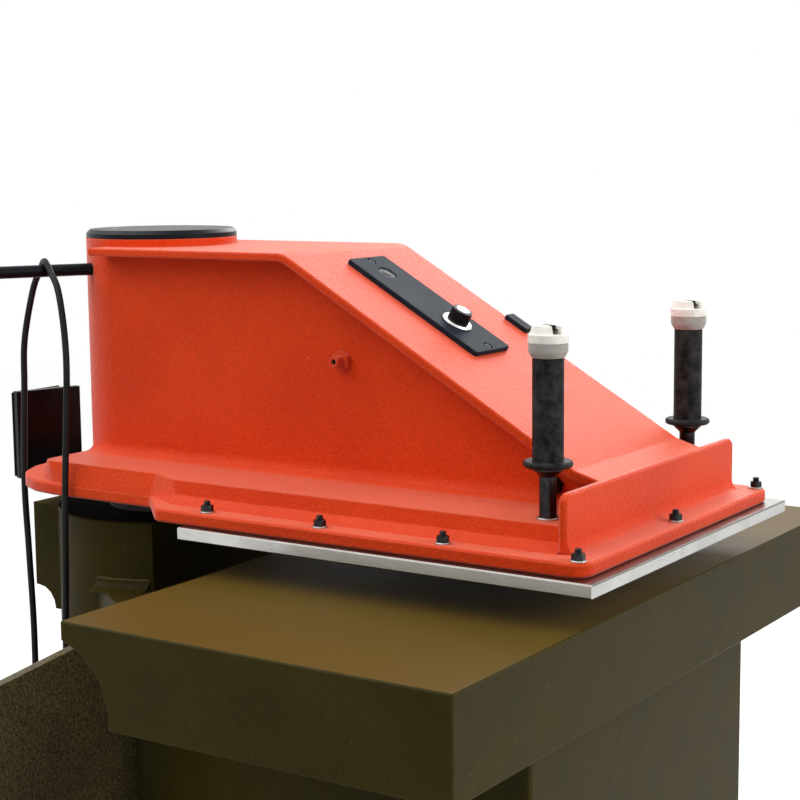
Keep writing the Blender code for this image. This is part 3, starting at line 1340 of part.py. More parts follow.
def build_panel():
    frame = slope_frame(0, PANEL_FORWARD)
    half_x, half_y = PANEL_WIDTH / 2, PANEL_LENGTH / 2
    outline = rounded([
        (-half_x, -half_y, PANEL_CORNER), (half_x, -half_y, PANEL_CORNER),
        (half_x, half_y, PANEL_CORNER), (-half_x, half_y, PANEL_CORNER)], 3)
    top = GAP + PANEL_THICKNESS
    panel = prism("control_panel", outline, GAP, top, BLACK_PLASTIC, frame=frame)
    bevel(panel, PANEL_THICKNESS / 8)
    recess_low = top - PLUG_DEPTH
    for k, offset in enumerate((PANEL_SCREW_OFFSET, -PANEL_SCREW_OFFSET)):
        for name, radius, low, steps in (
                ("recess", PANEL_SCREW_RECESS, recess_low, SMALL_STEPS),
                ("socket", PANEL_SOCKET, recess_low - PLUG_DEPTH / 2, 6)):
            cut(panel, framed(cylinder(
                f"panel_{name}_{k}", radius, Vector((0, offset, low)),
                Vector((0, offset, top + OVERRUN)), None, cutters, steps), frame))
    cut(panel, framed(cylinder(
        "plug_recess", PLUG_RADIUS, Vector((0, PLUG_OFFSET, recess_low)),
        Vector((0, PLUG_OFFSET, top + OVERRUN)), None, cutters, SMALL_STEPS + 8), frame))
    cut(panel, framed(cylinder(
        "shaft_hole", KNOB_SHAFT + SLIDE, Vector((0, KNOB_OFFSET, -OVERRUN)),
        Vector((0, KNOB_OFFSET, top + OVERRUN)), None, cutters, BORE_STEPS), frame))
    carry(swing_axis, panel)

    knob_frame = frame @ Matrix.Translation((0, KNOB_OFFSET, 0))
    skirt_low = top + SLIDE
    skirt_top = skirt_low + SKIRT_THICKNESS
    skirt = framed(turned("knob_skirt", [
        (KNOB_SHAFT + GAP, skirt_top), (SKIRT_RADIUS - SKIRT_EDGE, skirt_top),
        (SKIRT_RADIUS, skirt_low + SINK),
        (SKIRT_RADIUS, skirt_low), (KNOB_SHAFT + GAP, skirt_low)], SILVER,
        steps=SMALL_STEPS + 8, ring=True), knob_frame)
    knob_low = skirt_top + GAP
    knob_top = knob_low + KNOB_HEIGHT
    knob = framed(turned("control_knob", [
        (0, knob_top + GAP), (KNOB_CAP_RADIUS, knob_top + GAP),
        (KNOB_CAP_RADIUS, knob_top - KNOB_CAP_RECESS),
        (KNOB_CAP_RADIUS + SINK / 2, knob_top - KNOB_CAP_RECESS),
        (KNOB_CAP_RADIUS + SINK / 2, knob_top), (KNOB_TOP_RADIUS, knob_top), (KNOB_RADIUS, knob_low),
        (KNOB_SHAFT, knob_low), (KNOB_SHAFT, GAP * 2), (0, GAP * 2)], BLACK_PLASTIC,
        steps=SMALL_STEPS + 8), knob_frame)
    carry(axis_empty("knob_axis", knob_frame.translation, (SLOPE, 0, 0)), skirt, knob)

    edge = TOP_HALF + GAP
    hook = [
        (-CLIP_RISE, edge - CLIP_REACH), (-CLIP_RISE, edge + CLIP_RISE),
        (TOP_THICKNESS, edge + CLIP_RISE), (TOP_THICKNESS, edge), (-GAP, edge),
        (-GAP, edge - CLIP_REACH)]
    clip_frame = slope_frame(0, CLIP_FORWARD) @ Matrix(((0, 1, 0), (0, 0, -1), (-1, 0, 0))).to_4x4()
    clip = prism("edge_clip", hook, -CLIP_LENGTH / 2, CLIP_LENGTH / 2, BLACK_PLASTIC, frame=clip_frame)
    carry(swing_axis, clip)


# Hex fittings on the webs and the bar that carries the lead

FITTING_FORWARD = 0.366
FITTING_DROP = 0.127        # below the flat top
FITTING_HEX = 0.0122
FITTING_HEX_THICKNESS = 0.0065
FITTING_STUB = 0.0068
FITTING_LENGTH = 0.0165
FITTING_BORE = 0.0035
FITTING_THREAD_LENGTH = 0.008
BAR_RADIUS = 0.008
BAR_DROP = 0.0303           # below the flat top
BAR_ANGLE = math.radians(28)  # behind square to the arm
BAR_START = 0.080
BAR_REACH = 0.420
BAR_STOP = 0.013
BAR_STOP_LENGTH = 0.014

fitting_height = ARM_TOP - FITTING_DROP


def bar_point(reach):
    return Vector((
        -reach * math.cos(BAR_ANGLE), reach * math.sin(BAR_ANGLE), ARM_TOP - BAR_DROP))


def build_fittings():
    for name, side in (("near", -1), ("far", 1)):
        def along(out):
            return point(side * (WEB_HALF + out), FITTING_FORWARD, fitting_height)
        fitting = cylinder(
            f"hex_fitting_{name}", FITTING_HEX, along(GAP), along(GAP + FITTING_HEX_THICKNESS), ORANGE,
            steps=6)
        join(fitting, cylinder(
            f"fitting_stub_{name}", FITTING_STUB, along(-FITTING_THREAD_LENGTH), along(FITTING_LENGTH),
            None, cutters, BORE_STEPS))
        cut(fitting, bore(
            f"fitting_bore_{name}", FITTING_BORE, along(-FITTING_THREAD_LENGTH - OVERRUN),
            along(FITTING_LENGTH + OVERRUN)))
        carry(swing_axis, fitting)
    bar = cylinder(
        "cable_bar", BAR_RADIUS, bar_point(BAR_START), bar_point(BAR_REACH), DARK_STEEL)
    stop = cylinder(
        "bar_stop", BAR_STOP, bar_point(BAR_REACH - BAR_STOP_LENGTH),
        bar_point(BAR_REACH + BAR_STOP_LENGTH / 3), None, cutters)
    bevel(stop, BAR_STOP / 5)
    join(bar, stop)
    carry(swing_axis, bar)


# Shallow electric box behind the column, turned a little about the vertical

BOX_WIDTH = 0.101
BOX_DEPTH = 0.012
BOX_HEIGHT = 0.126
BOX_FOOT = 0.012            # below the strike plate's foot
BOX_ACROSS = 0.0303
BOX_FORWARD = -0.2545       # middle of the box
BOX_TURN = math.radians(-18)
BOX_WALL = 0.002
BOX_ENTRY = 0.003
BRACKET_ACROSS = (0.044, 0.072)
BRACKET_POST = -0.2485      # rear face of the bracket's post
BRACKET_SHEET = 0.006
BRACKET_DROP = 0.090        # bracket's shelf below the box
BRACKET_FACE = 0.060


def build_electric_box():
    low = PLATE_FOOT - BOX_FOOT
    size = (BOX_WIDTH / 2, BOX_DEPTH / 2, BOX_HEIGHT / 2)
    spans = [(-half, half) for half in size]
    hollow = [(-half + BOX_WALL, half - BOX_WALL) for half in size]
    turn = Matrix.Rotation(BOX_TURN, 4, "Z")
    turn.translation = point(BOX_ACROSS, BOX_FORWARD, low + BOX_HEIGHT / 2)
    body = framed(box("electric_box", *spans, BLACK_PLASTIC), turn)
    bevel(body, BOX_WALL / 2)
    cut(body, framed(box("electric_box_hollow", *hollow, None, cutters), turn))
    entry = -BOX_HEIGHT / 2
    cut(body, framed(bore(
        "lead_entry", BOX_ENTRY, Vector((0, 0, entry - OVERRUN)), Vector((0, 0, entry + 2 * BOX_WALL))),
        turn))
    shelf = low - BRACKET_DROP
    face = -BLOCK_REAR - GAP
    post = BRACKET_POST
    side = [
        (face, shelf + BRACKET_FACE), (face, shelf), (post, shelf), (post, low - GAP),
        (post + BRACKET_SHEET, low - GAP), (post + BRACKET_SHEET, shelf + BRACKET_SHEET),
        (face - BRACKET_SHEET, shelf + BRACKET_SHEET), (face - BRACKET_SHEET, shelf + BRACKET_FACE)]
    prism("box_bracket", side, *BRACKET_ACROSS, OLIVE, plane="side")


# Main switch on the near side of the cabinet

SWITCH_FORWARD = -0.120
SWITCH_HEIGHT = 0.440
SWITCH_HALF = 0.035
SWITCH_PLATE = 0.006
SWITCH_KNOB = 0.021
SWITCH_KNOB_THICKNESS = 0.012
SWITCH_GRIP = 0.010
SWITCH_GRIP_HALF = 0.0193
SWITCH_GRIP_RISE = 0.014

switch_centre = point(-half_width, SWITCH_FORWARD, SWITCH_HEIGHT)


def build_main_switch():
    outer = -half_width - GAP
    plate = box(
        "switch_plate", (outer - SWITCH_PLATE, outer),
        (SWITCH_FORWARD - SWITCH_HALF, SWITCH_FORWARD + SWITCH_HALF),
        (SWITCH_HEIGHT - SWITCH_HALF, SWITCH_HEIGHT + SWITCH_HALF), GREY_PLASTIC)
    bevel(plate, SWITCH_PLATE / 4)
    face = outer - SWITCH_PLATE - GAP
    front = face - SWITCH_KNOB_THICKNESS
    knob = cylinder(
        "switch_knob", SWITCH_KNOB, point(face, SWITCH_FORWARD, SWITCH_HEIGHT),
        point(front, SWITCH_FORWARD, SWITCH_HEIGHT), BLACK_PLASTIC)
    grip = box(
        "switch_grip", (front - SWITCH_GRIP_RISE, front + SINK),
        (SWITCH_FORWARD - SWITCH_GRIP / 2, SWITCH_FORWARD + SWITCH_GRIP / 2),
        (SWITCH_HEIGHT - SWITCH_GRIP_HALF, SWITCH_HEIGHT + SWITCH_GRIP_HALF), None, cutters)
    join(knob, grip)
    carry(axis_empty("switch_axis", switch_centre), knob)


# Lead over the bar, with its glands and junction box

LEAD_RADIUS = 0.0043
LEAD_HOLE = 0.006           # in the junction box
GLAND_RADIUS = 0.0125
GLAND_THREAD = 0.0085
GLAND_RISE = 0.030
GLAND_TIP = 0.0075
GLAND_NUT = 0.0106
GLAND_NUT_TOP = 0.024
GLAND_NUT_FOOT = 0.0135
GLAND_COLLAR = 0.012
JUNCTION_DEPTH = 0.080
JUNCTION_HOLE = 0.060
GLANDS = (("front", -0.2140, 0.0040), ("rear", -0.1560, -0.1090))
LEAD_FRONT = (
    (-0.2140, 0.0040, 0.655), (-0.2115, 0.0040, 0.740), (-0.2055, 0.0030, 0.860),
    (-0.1970, -0.0010, 0.966), (-0.1885, -0.0005, 1.091), (-0.1780, -0.0105, 1.155),
    (-0.1620, -0.0350, 1.215), (-0.1500, -0.0610, 1.241))
LEAD_OVER = (
    (-0.1468, -0.0695, 1.2490), (-0.1430, -0.0760, 1.2515), (-0.1392, -0.0832, 1.2490))
LEAD_REAR = (
    (-0.1340, -0.0930, 1.2390), (-0.1275, -0.1145, 1.2130), (-0.1260, -0.1355, 1.1440),
    (-0.1255, -0.1400, 1.0770), (-0.1270, -0.1450, 0.9560), (-0.1320, -0.1365, 0.8600),
    (-0.1410, -0.1235, 0.7600), (-0.1560, -0.1090, 0.6550))


def build_lead():
    deck = CABINET_HEIGHT
    ends = [point(across, forward, deck - JUNCTION_HOLE / 3) for _, across, forward in GLANDS]
    route = [ends[0], point(*GLANDS[0][1:], deck + GLAND_RISE)]
    route += [point(*spot) for spot in LEAD_FRONT + LEAD_OVER + LEAD_REAR]
    route += [point(*GLANDS[1][1:], deck + GLAND_RISE), ends[1]]
    lead = rod("hanging_lead", smooth_path(route, 3, square_ends=True), LEAD_RADIUS, RUBBER)
    carry(stroke_axis, lead)

    for name, across, forward in GLANDS:
        inner = LEAD_RADIUS + GAP
        turned(f"gland_{name}", [
            (inner, deck + GLAND_RISE), (GLAND_TIP, deck + GLAND_RISE),
            (GLAND_NUT, deck + GLAND_NUT_TOP), (GLAND_NUT, deck + GLAND_NUT_FOOT),
            (GLAND_RADIUS, deck + GLAND_COLLAR), (GLAND_RADIUS, deck + GAP),
            (GLAND_THREAD, deck + GAP),
            (GLAND_THREAD, deck - CABINET_SHEET), (inner, deck - CABINET_SHEET)], BLACK_PLASTIC,
            centre=point(across, forward, 0), steps=SMALL_STEPS, ring=True)
    acrosses = [spot[1] for spot in GLANDS]
    forwards = [spot[2] for spot in GLANDS]
    top = deck - CABINET_SHEET - GAP
    margin = GLAND_RADIUS * 2
    junction = box(
        "junction_box", (min(acrosses) - margin, max(acrosses) - margin / 5),
        (min(forwards) - margin, max(forwards) + margin / 2), (top - JUNCTION_DEPTH, top), GREY_PLASTIC)
    bevel(junction, GLAND_RADIUS / 5)
    for name, across, forward in GLANDS:
        cut(junction, bore(
            f"junction_hole_{name}", LEAD_HOLE, point(across, forward, deck - JUNCTION_HOLE),
            point(across, forward, top + OVERRUN)))


stroke_axis = axis_empty("stroke_axis", (0, 0, PLATE_FOOT))
swing_axis = axis_empty("swing_axis", (0, 0, PLATE_FOOT))

build_base_plate()
build_pedestal()
build_table()
build_housing()
build_housing_bushes()
build_wings()
build_cabinet()
build_door()
build_cylinder()
build_power_pack()
build_pillar()
build_hub_bush()
carry(swing_axis, build_arm())
build_cap()
build_strike_plate()
build_handle("near", -1)
build_handle("far", 1)
build_panel()
build_fittings()
build_electric_box()
build_main_switch()
build_lead()
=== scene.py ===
import math

import bmesh
import bpy
from mathutils import Matrix, Vector


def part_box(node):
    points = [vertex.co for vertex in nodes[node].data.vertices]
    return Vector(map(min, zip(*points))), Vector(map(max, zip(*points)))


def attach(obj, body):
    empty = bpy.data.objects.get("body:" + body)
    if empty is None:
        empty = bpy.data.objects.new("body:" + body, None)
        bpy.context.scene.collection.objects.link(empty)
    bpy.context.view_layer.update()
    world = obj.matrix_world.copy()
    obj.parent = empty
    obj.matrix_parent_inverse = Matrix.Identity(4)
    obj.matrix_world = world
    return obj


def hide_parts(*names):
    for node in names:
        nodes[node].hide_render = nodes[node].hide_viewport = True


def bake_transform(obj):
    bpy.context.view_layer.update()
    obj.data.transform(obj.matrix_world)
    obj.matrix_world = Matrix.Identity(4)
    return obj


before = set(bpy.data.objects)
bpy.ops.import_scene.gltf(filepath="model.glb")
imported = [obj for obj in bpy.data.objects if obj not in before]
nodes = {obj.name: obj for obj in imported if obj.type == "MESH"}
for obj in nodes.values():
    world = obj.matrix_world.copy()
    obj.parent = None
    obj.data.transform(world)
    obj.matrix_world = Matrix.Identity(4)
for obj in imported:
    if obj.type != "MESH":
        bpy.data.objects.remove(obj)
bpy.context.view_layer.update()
print("frame loaded:", len(nodes), "CAD nodes")


def addObject(name, data):
    made = bpy.data.objects.new(name, data)
    bpy.context.scene.collection.objects.link(made)
    return made


# Camera: stands near the operator's left and looks slightly down along the arm

camera = {
    "place": (-1.7969, -1.5779, 1.3816),
    "lens": 79.5,
    "sensor": 36,
    "pitch": 0.137,  # radians below the horizon
    "yaw": 0.588,  # radians from the machine's right towards its rear
    "roll": -0.010,
}


def makeCamera():
    pitch, yaw, roll = camera["pitch"], camera["yaw"], camera["roll"]
    ahead = Vector((
        math.cos(yaw) * math.cos(pitch), math.sin(yaw) * math.cos(pitch), -math.sin(pitch)))
    right = Vector((math.sin(yaw), -math.cos(yaw), 0))
    up = right.cross(ahead)
    turnedRight = math.cos(roll) * right + math.sin(roll) * up
    turnedUp = -math.sin(roll) * right + math.cos(roll) * up
    data = bpy.data.cameras.new("photoCamera")
    data.lens, data.sensor_width = camera["lens"], camera["sensor"]
    made = addObject("photoCamera", data)
    place = Matrix((turnedRight, turnedUp, -ahead)).transposed().to_4x4()
    place.translation = camera["place"]
    made.matrix_world = place
    bpy.context.scene.camera = made


makeCamera()


# Materials. Object coordinates are metres, so a pattern of n mm has a scale of 1000 / n


def shade(code):  # sRGB hex to the linear colour that a shader takes
    parts = [int(code[k:k + 2], 16) / 255 for k in (1, 3, 5)]
    return (*[c / 12.92 if c <= 0.04045 else ((c + 0.055) / 1.055) ** 2.4 for c in parts], 1)


def addNode(tree, kind, settings=None, links=None):
    made = tree.nodes.new("ShaderNode" + kind)
    for key, value in (settings or {}).items():
        if key == "stops":
            ramp = made.color_ramp.elements
            while len(ramp) < len(value):
                ramp.new(0.5)
            for spot, (position, level) in zip(ramp, value):
                spot.position, spot.color = position, (level, level, level, 1)
        elif isinstance(key, str) and hasattr(made, key):
            setattr(made, key, value)
        else:
            made.inputs[key].default_value = value
    for key, source in (links or {}).items():
        if hasattr(source, "outputs"):  # a node stands for its first output in use
            source = next(socket for socket in source.outputs if socket.enabled)
        tree.links.new(source, made.inputs[key])
    return made


def perMm(size):
    return 1000 / size


def startMaterial(name):
    made = bpy.data.materials.new(name)
    made.use_nodes = True
    tree = made.node_tree
    tree.nodes.clear()
    place = addNode(tree, "TexCoord").outputs["Object"]
    return made, tree, place


def endMaterial(made, tree, tone, settings, links):
    shader = addNode(tree, "BsdfPrincipled", {"Base Color": tone, **settings}, links)
    addNode(tree, "OutputMaterial", None, {"Surface": shader})
    made.diffuse_color = tone
    return made


# Sprayed paint. Its ground stands through as a grain whose hollows are painted darker, as
# painted shade; the paint flows into an orange peel; dust lies in it as pale specks that are
# also painted glints; and the raised edges are painted paler, as rubbed wear and painted
# highlight. Grain and specks are drawn two to four times coarser than real, so that they show
def sprayedPaint(look):
    made, tree, place = startMaterial(look["name"])
    tone, pale = shade(look["tone"]), shade(look["pale"])
    grain, peel, cloud, dustAndGlint = [
        addNode(
            tree, "TexNoise", {"Scale": perMm(look[size]), "Detail": detail, "Roughness": rough},
            {"Vector": place})
        for size, detail, rough in (
            ("grainMm", 3, 0.6), ("peelMm", 1, 0.5), ("cloudMm", 4, 0.6), ("dustAndGlintMm", 2, 0.5))]
    thick = addNode(tree, "MapRange", {"From Min": 0.3, "From Max": 0.6}, {"Value": cloud})
    body = addNode(
        tree, "Mix", {"data_type": "RGBA", 6: shade(look["dark"]), 7: tone}, {0: thick})
    # the hollows of the grain are painted darker: painted shade, so that the grain shows
    grainShade = addNode(
        tree, "MapRange",
        {"From Min": 0.42, "From Max": 0.58, "To Min": 1 - look["grainShadeDepth"], "To Max": 1},
        {"Value": grain})
    grainShaded = addNode(
        tree, "Mix", {"data_type": "RGBA", "blend_type": "MULTIPLY", 0: 1.0}, {6: body, 7: grainShade})
    # pale specks: dust, and painted glints
    rare = addNode(tree, "ValToRGB", {"stops": [(0.71, 0), (0.77, look["dustAndGlint"])]}, {0: dustAndGlint})
    dustAndGlinted = addNode(tree, "Mix", {"data_type": "RGBA", 7: pale}, {0: rare, 6: grainShaded})
    # what faces up is painted a film tone: dust, or oil with its own tone, and painted light
    # from above, wholly so on the orange arm and in part on the table's top
    own = addNode(tree, "NewGeometry").outputs["Normal"]
    facesUp = addNode(tree, "SeparateXYZ", None, {0: own}).outputs[2]
    filmAndTopLightShare = addNode(
        tree, "MapRange", {"From Min": 0.8, "From Max": 0.98, "To Max": look["filmAndTopLight"]},
        {"Value": facesUp})
    filmedAndTopLit = addNode(
        tree, "Mix", {"data_type": "RGBA", 7: shade(look.get("filmAndTopLightTone", "#5A4510"))},
        {0: filmAndTopLightShare, 6: dustAndGlinted})
    softEdge = addNode(tree, "Bevel", {"samples": 6, "Radius": look["edgeMm"] / 1000})
    match = addNode(tree, "VectorMath", {"operation": "DOT_PRODUCT"}, {0: softEdge, 1: own})
    # the raised edges are painted paler: rubbed wear and painted highlight
    edge = addNode(
        tree, "MapRange", {"From Min": 0.985, "From Max": 0.86, "To Max": look["rubAndEdgeLight"]},
        {"Value": match})
    colour = addNode(tree, "Mix", {"data_type": "RGBA", 7: pale}, {0: edge, 6: filmedAndTopLit})
    rough = addNode(
        tree, "MapRange", {"To Min": look["rough"] - 0.05, "To Max": look["rough"] + 0.07},
        {"Value": cloud})
    low = addNode(
        tree, "Bump", {"Distance": look["peelDepthMm"] / 1000},
        {"Height": peel, "Normal": softEdge})
    fine = addNode(
        tree, "Bump", {"Distance": look["grainDepthMm"] / 1000}, {"Height": grain, "Normal": low})
    return endMaterial(
        made, tree, tone,
        {"IOR": 1.5, "Specular IOR Level": look["shine"], "Sheen Weight": look["bloom"],
         "Sheen Roughness": 0.4},
        {"Base Color": colour, "Roughness": rough, "Normal": fine})


# Machine enamel over a sand-cast arm: saturated orange with a skin like fine leather, and the
# faces that look up painted paler orange, as painted light from above
orangeEnamel = sprayedPaint({
    "name": "orangeEnamelOnCastIron", "tone": "#DE410D", "dark": "#D33908", "pale": "#F28A68",
    "rough": 0.43, "shine": 0.10, "bloom": 0.26, "filmAndTopLight": 0.20, "filmAndTopLightTone": "#F07C42",
    "grainMm": 3.4, "grainDepthMm": 1.10, "grainShadeDepth": 0.10, "peelMm": 9, "peelDepthMm": 0.35,
    "cloudMm": 160, "dustAndGlintMm": 3.6, "dustAndGlint": 0.35, "edgeMm": 2.8, "rubAndEdgeLight": 0.28,
})

# The same enamel in olive on machined steel, filled and rubbed smooth: an even, low gloss
oliveLook = {
    "name": "oliveEnamelOnMachinedSteel",
    "tone": "#39310F", "dark": "#302A0B", "pale": "#72663C",
    "rough": 0.42, "shine": 0.05, "bloom": 0.02, "filmAndTopLight": 0.15,
    "grainMm": 3.0, "grainDepthMm": 0.08, "grainShadeDepth": 0.16,
    "peelMm": 13, "peelDepthMm": 0.20,
    "cloudMm": 120, "dustAndGlintMm": 4.0, "dustAndGlint": 0.5,
    "edgeMm": 1.6, "rubAndEdgeLight": 0.55,
}
oliveEnamel = sprayedPaint(oliveLook)
# On the table the hands and the cut leather leave oil; its top is painted warmer and browner,
# partly as that oil, partly as painted light: the orange arm's reflection and light from above
tableEnamel = sprayedPaint({**oliveLook, "name": "oliveEnamelOiledAndLit", "filmAndTopLight": 0.88})

# Olive paint thrown dry on hot-rolled plate and sheet: a coarse crust that glints in points,
# its pale specks and paler edges partly painted glints and highlight
olivePlate = sprayedPaint({
    "name": "olivePaintOnRolledPlate", "tone": "#6B5F38", "dark": "#57492A", "pale": "#A0946C",
    "rough": 0.40, "shine": 0.30, "bloom": 0.05, "filmAndTopLight": 0, "grainMm": 3.4, "grainDepthMm": 2.00,
    "grainShadeDepth": 0.70, "peelMm": 9, "peelDepthMm": 0.90, "cloudMm": 120, "dustAndGlintMm": 2.6,
    "dustAndGlint": 0.9, "edgeMm": 2.0, "rubAndEdgeLight": 0.9,
})
oliveSheet = sprayedPaint({
    "name": "olivePowderCoatOnSheet", "tone": "#40381F", "dark": "#383017", "pale": "#6A6040",
    "rough": 0.50, "shine": 0.06, "bloom": 0.10, "filmAndTopLight": 0.1, "grainMm": 2.8,
    "grainDepthMm": 0.16, "grainShadeDepth": 0.10, "peelMm": 12, "peelDepthMm": 0.25, "cloudMm": 140,
    "dustAndGlintMm": 5.0, "dustAndGlint": 0.3, "edgeMm": 1.2, "rubAndEdgeLight": 0.5,
})
# Grey enamel on the power pack: thin, even and slightly glossy
greyEnamel = sprayedPaint({
    "name": "greyEnamelOnSteel", "tone": "#7C8487", "dark": "#6E7679", "pale": "#9AA1A3",
    "rough": 0.38, "shine": 0.3, "bloom": 0.0, "filmAndTopLight": 0.3, "grainMm": 2.2, "grainDepthMm": 0.06,
    "grainShadeDepth": 0.05, "peelMm": 10, "peelDepthMm": 0.18, "cloudMm": 90, "dustAndGlintMm": 5.0,
    "dustAndGlint": 0.3, "edgeMm": 1.0, "rubAndEdgeLight": 0.4,
})
# Black enamel on the turned cap and bar: its tone painted bluish, as a painted reflection of
# the sky, and a faint peel
blackEnamel = sprayedPaint({
    "name": "blackEnamelOnTurnedSteel", "tone": "#0E131A", "dark": "#0A0E13", "pale": "#4A4D52",
    "rough": 0.32, "shine": 0.12, "bloom": 0.0, "filmAndTopLight": 0, "grainMm": 1.8, "grainDepthMm": 0.03,
    "grainShadeDepth": 0.04, "peelMm": 9, "peelDepthMm": 0.10, "cloudMm": 60, "dustAndGlintMm": 4.0,
    "dustAndGlint": 0.4, "edgeMm": 0.8, "rubAndEdgeLight": 0.5,
})


oilFilmAndShade = {"tone": "#6E6A66", "starts": 0.50, "full": 0.70}  # by how level a face lies
usualMetal = {
    "rough": 0.30, "along": (1, 1, 1), "markMm": 1.2, "markDepthMm": 0.02, "smear": 0.6,
    "edgeMm": 0.3, "oilAndShade": 0,
}


# Bare and plated metal: fine parallel tool marks, smears of oil, and a slow change of polish.
# The marks are drawn three to five times coarser than real, so that they show
def workedMetal(look):
    look = {**usualMetal, **look}
    made, tree, place = startMaterial(look["name"])
    tone = shade(look["tone"])
    drawn = addNode(tree, "VectorMath", {"operation": "MULTIPLY", 1: look["along"]}, {0: place})
    marks = addNode(
        tree, "TexNoise", {"Scale": perMm(look["markMm"]), "Detail": 4, "Roughness": 0.7},
        {"Vector": drawn})
    smears = addNode(
        tree, "TexNoise", {"Scale": perMm(look["smearMm"]), "Detail": 4, "Distortion": 0.8},
        {"Vector": place})
    patches = addNode(
        tree, "ValToRGB", {"stops": [(0.42, 0), (0.62, look["smear"])]}, {0: smears})
    colour = addNode(
        tree, "Mix", {"data_type": "RGBA", 6: tone, 7: shade(look["dull"])}, {0: patches})
    lines = addNode(
        tree, "ValToRGB", {"stops": [(0.3, 1 - look["lines"]), (0.7, 1)]}, {0: marks})
    streaked = addNode(
        tree, "Mix", {"data_type": "RGBA", "blend_type": "MULTIPLY", 0: 1.0},
        {6: colour, 7: lines})
    # faces that look up or down, and their broken edges, are painted dark grey: a film of old
    # oil, and painted shade that dims their reflections
    own = addNode(tree, "NewGeometry").outputs["Normal"]
    height = addNode(tree, "SeparateXYZ", None, {0: own}).outputs[2]
    level = addNode(tree, "Math", {"operation": "ABSOLUTE"}, {0: height})
    oiledAndShaded = addNode(
        tree, "MapRange",
        {"From Min": oilFilmAndShade["starts"], "From Max": oilFilmAndShade["full"], "To Max": look["oilAndShade"]},
        {"Value": level})
    worked = addNode(
        tree, "Mix", {"data_type": "RGBA", 7: shade(oilFilmAndShade["tone"])}, {0: oiledAndShaded, 6: streaked})
    rough = addNode(
        tree, "MapRange", {"To Min": look["rough"] - 0.08, "To Max": look["rough"] + 0.12},
        {"Value": smears})
    softEdge = addNode(tree, "Bevel", {"samples": 4, "Radius": look["edgeMm"] / 1000})
    bump = addNode(
        tree, "Bump", {"Distance": look["markDepthMm"] / 1000},
        {"Height": marks, "Normal": softEdge})
    return endMaterial(
        made, tree, tone, {"Metallic": 1.0},
        {"Base Color": worked, "Roughness": rough, "Normal": bump})


# Surface-ground mild steel: bright grey, dull in clouds where it was wiped with oil; its
# level faces and broken edges painted dark grey, as old oil and as painted shade
groundSteel = workedMetal({
    "name": "groundMildSteel", "tone": "#D2D2CF", "dull": "#BFBEBA", "markDepthMm": 0.03,
    "lines": 0.22, "along": (0.10, 0.10, 1), "smearMm": 60, "edgeMm": 0.6, "oilAndShade": 0.9,
})
# Turned and sandblasted aluminium: pale and satin
satinAluminium = workedMetal({
    "name": "blastedAluminium", "tone": "#E6E6E4", "dull": "#D2D2D0", "rough": 0.32,
    "markMm": 0.8, "markDepthMm": 0.01, "lines": 0.10, "smearMm": 9, "smear": 0.5,
})
# Zinc plating on washers, pipes and bolts: bright, faintly yellow-grey, cloudy
zincPlate = workedMetal({
    "name": "zincPlatedSteel", "tone": "#CFCFC9", "dull": "#ACADA6", "markMm": 1.0,
    "lines": 0.14, "smearMm": 12, "smear": 0.7,
})
# Hard chrome on the pillar and ram: mirror-like with fine rings from the grinding wheel
hardChrome = workedMetal({
    "name": "groundHardChrome", "tone": "#D8DADB", "dull": "#C6C9CB", "rough": 0.16,
    "markMm": 0.6, "markDepthMm": 0.004, "lines": 0.06, "along": (0.15, 0.15, 1), "smearMm": 40,
    "smear": 0.4, "edgeMm": 0.4,
})
# Cast and bored bearing bronze: warm, with dark oil in its pores
bearingBronze = workedMetal({
    "name": "boredBearingBronze", "tone": "#B98A4A", "dull": "#7F5D32", "rough": 0.36,
    "markMm": 1.0, "lines": 0.20, "along": (0.2, 0.2, 1), "smearMm": 14,
})
# Black oxide on nuts, rods and screws: near black with a dark steel gleam
blackOxide = workedMetal({
    "name": "blackOxideSteel", "tone": "#3A3A3C", "dull": "#242425", "lines": 0.15,
    "smearMm": 10, "smear": 0.7,
})
# Pump body: die-cast aluminium, dull grey with a sandy skin
castAluminium = workedMetal({
    "name": "dieCastAluminium", "tone": "#A8AAAC", "dull": "#8A8C8E", "rough": 0.48,
    "markMm": 1.8, "markDepthMm": 0.12, "lines": 0.18, "smearMm": 22, "edgeMm": 0.8,
})


usualPolymer = {
    "ior": 1.53, "glint": "#FFFFFF", "grainMm": 1.0, "grainDepthMm": 0.02, "touch": 0.6,
    "edgeMm": 0.4,
}


# Moulded polymers: the fine spark-eroded skin of the mould, dulled and greyed where touched.
# The skin is drawn about five times coarser than real, so that it shows
def mouldedPolymer(look):
    look = {**usualPolymer, **look}
    made, tree, place = startMaterial(look["name"])
    tone = shade(look["tone"])
    grain = addNode(
        tree, "TexNoise", {"Scale": perMm(look["grainMm"]), "Detail": 2}, {"Vector": place})
    touch = addNode(
        tree, "TexNoise", {"Scale": perMm(look["touchMm"]), "Detail": 5, "Roughness": 0.65},
        {"Vector": place})
    touched = addNode(
        tree, "ValToRGB", {"stops": [(0.40, 0), (0.66, look["touch"])]}, {0: touch})
    colour = addNode(
        tree, "Mix", {"data_type": "RGBA", 6: tone, 7: shade(look["dull"])}, {0: touched})
    rough = addNode(
        tree, "MapRange", {"To Min": look["rough"] - 0.07, "To Max": look["rough"] + 0.09},
        {"Value": touch})
    softEdge = addNode(tree, "Bevel", {"samples": 4, "Radius": look["edgeMm"] / 1000})
    bump = addNode(
        tree, "Bump", {"Distance": look["grainDepthMm"] / 1000},
        {"Height": grain, "Normal": softEdge})
    return endMaterial(
        made, tree, tone,
        {"IOR": look["ior"], "Specular IOR Level": look["shine"],
         "Specular Tint": shade(look["glint"])},
        {"Base Color": colour, "Roughness": rough, "Normal": bump})


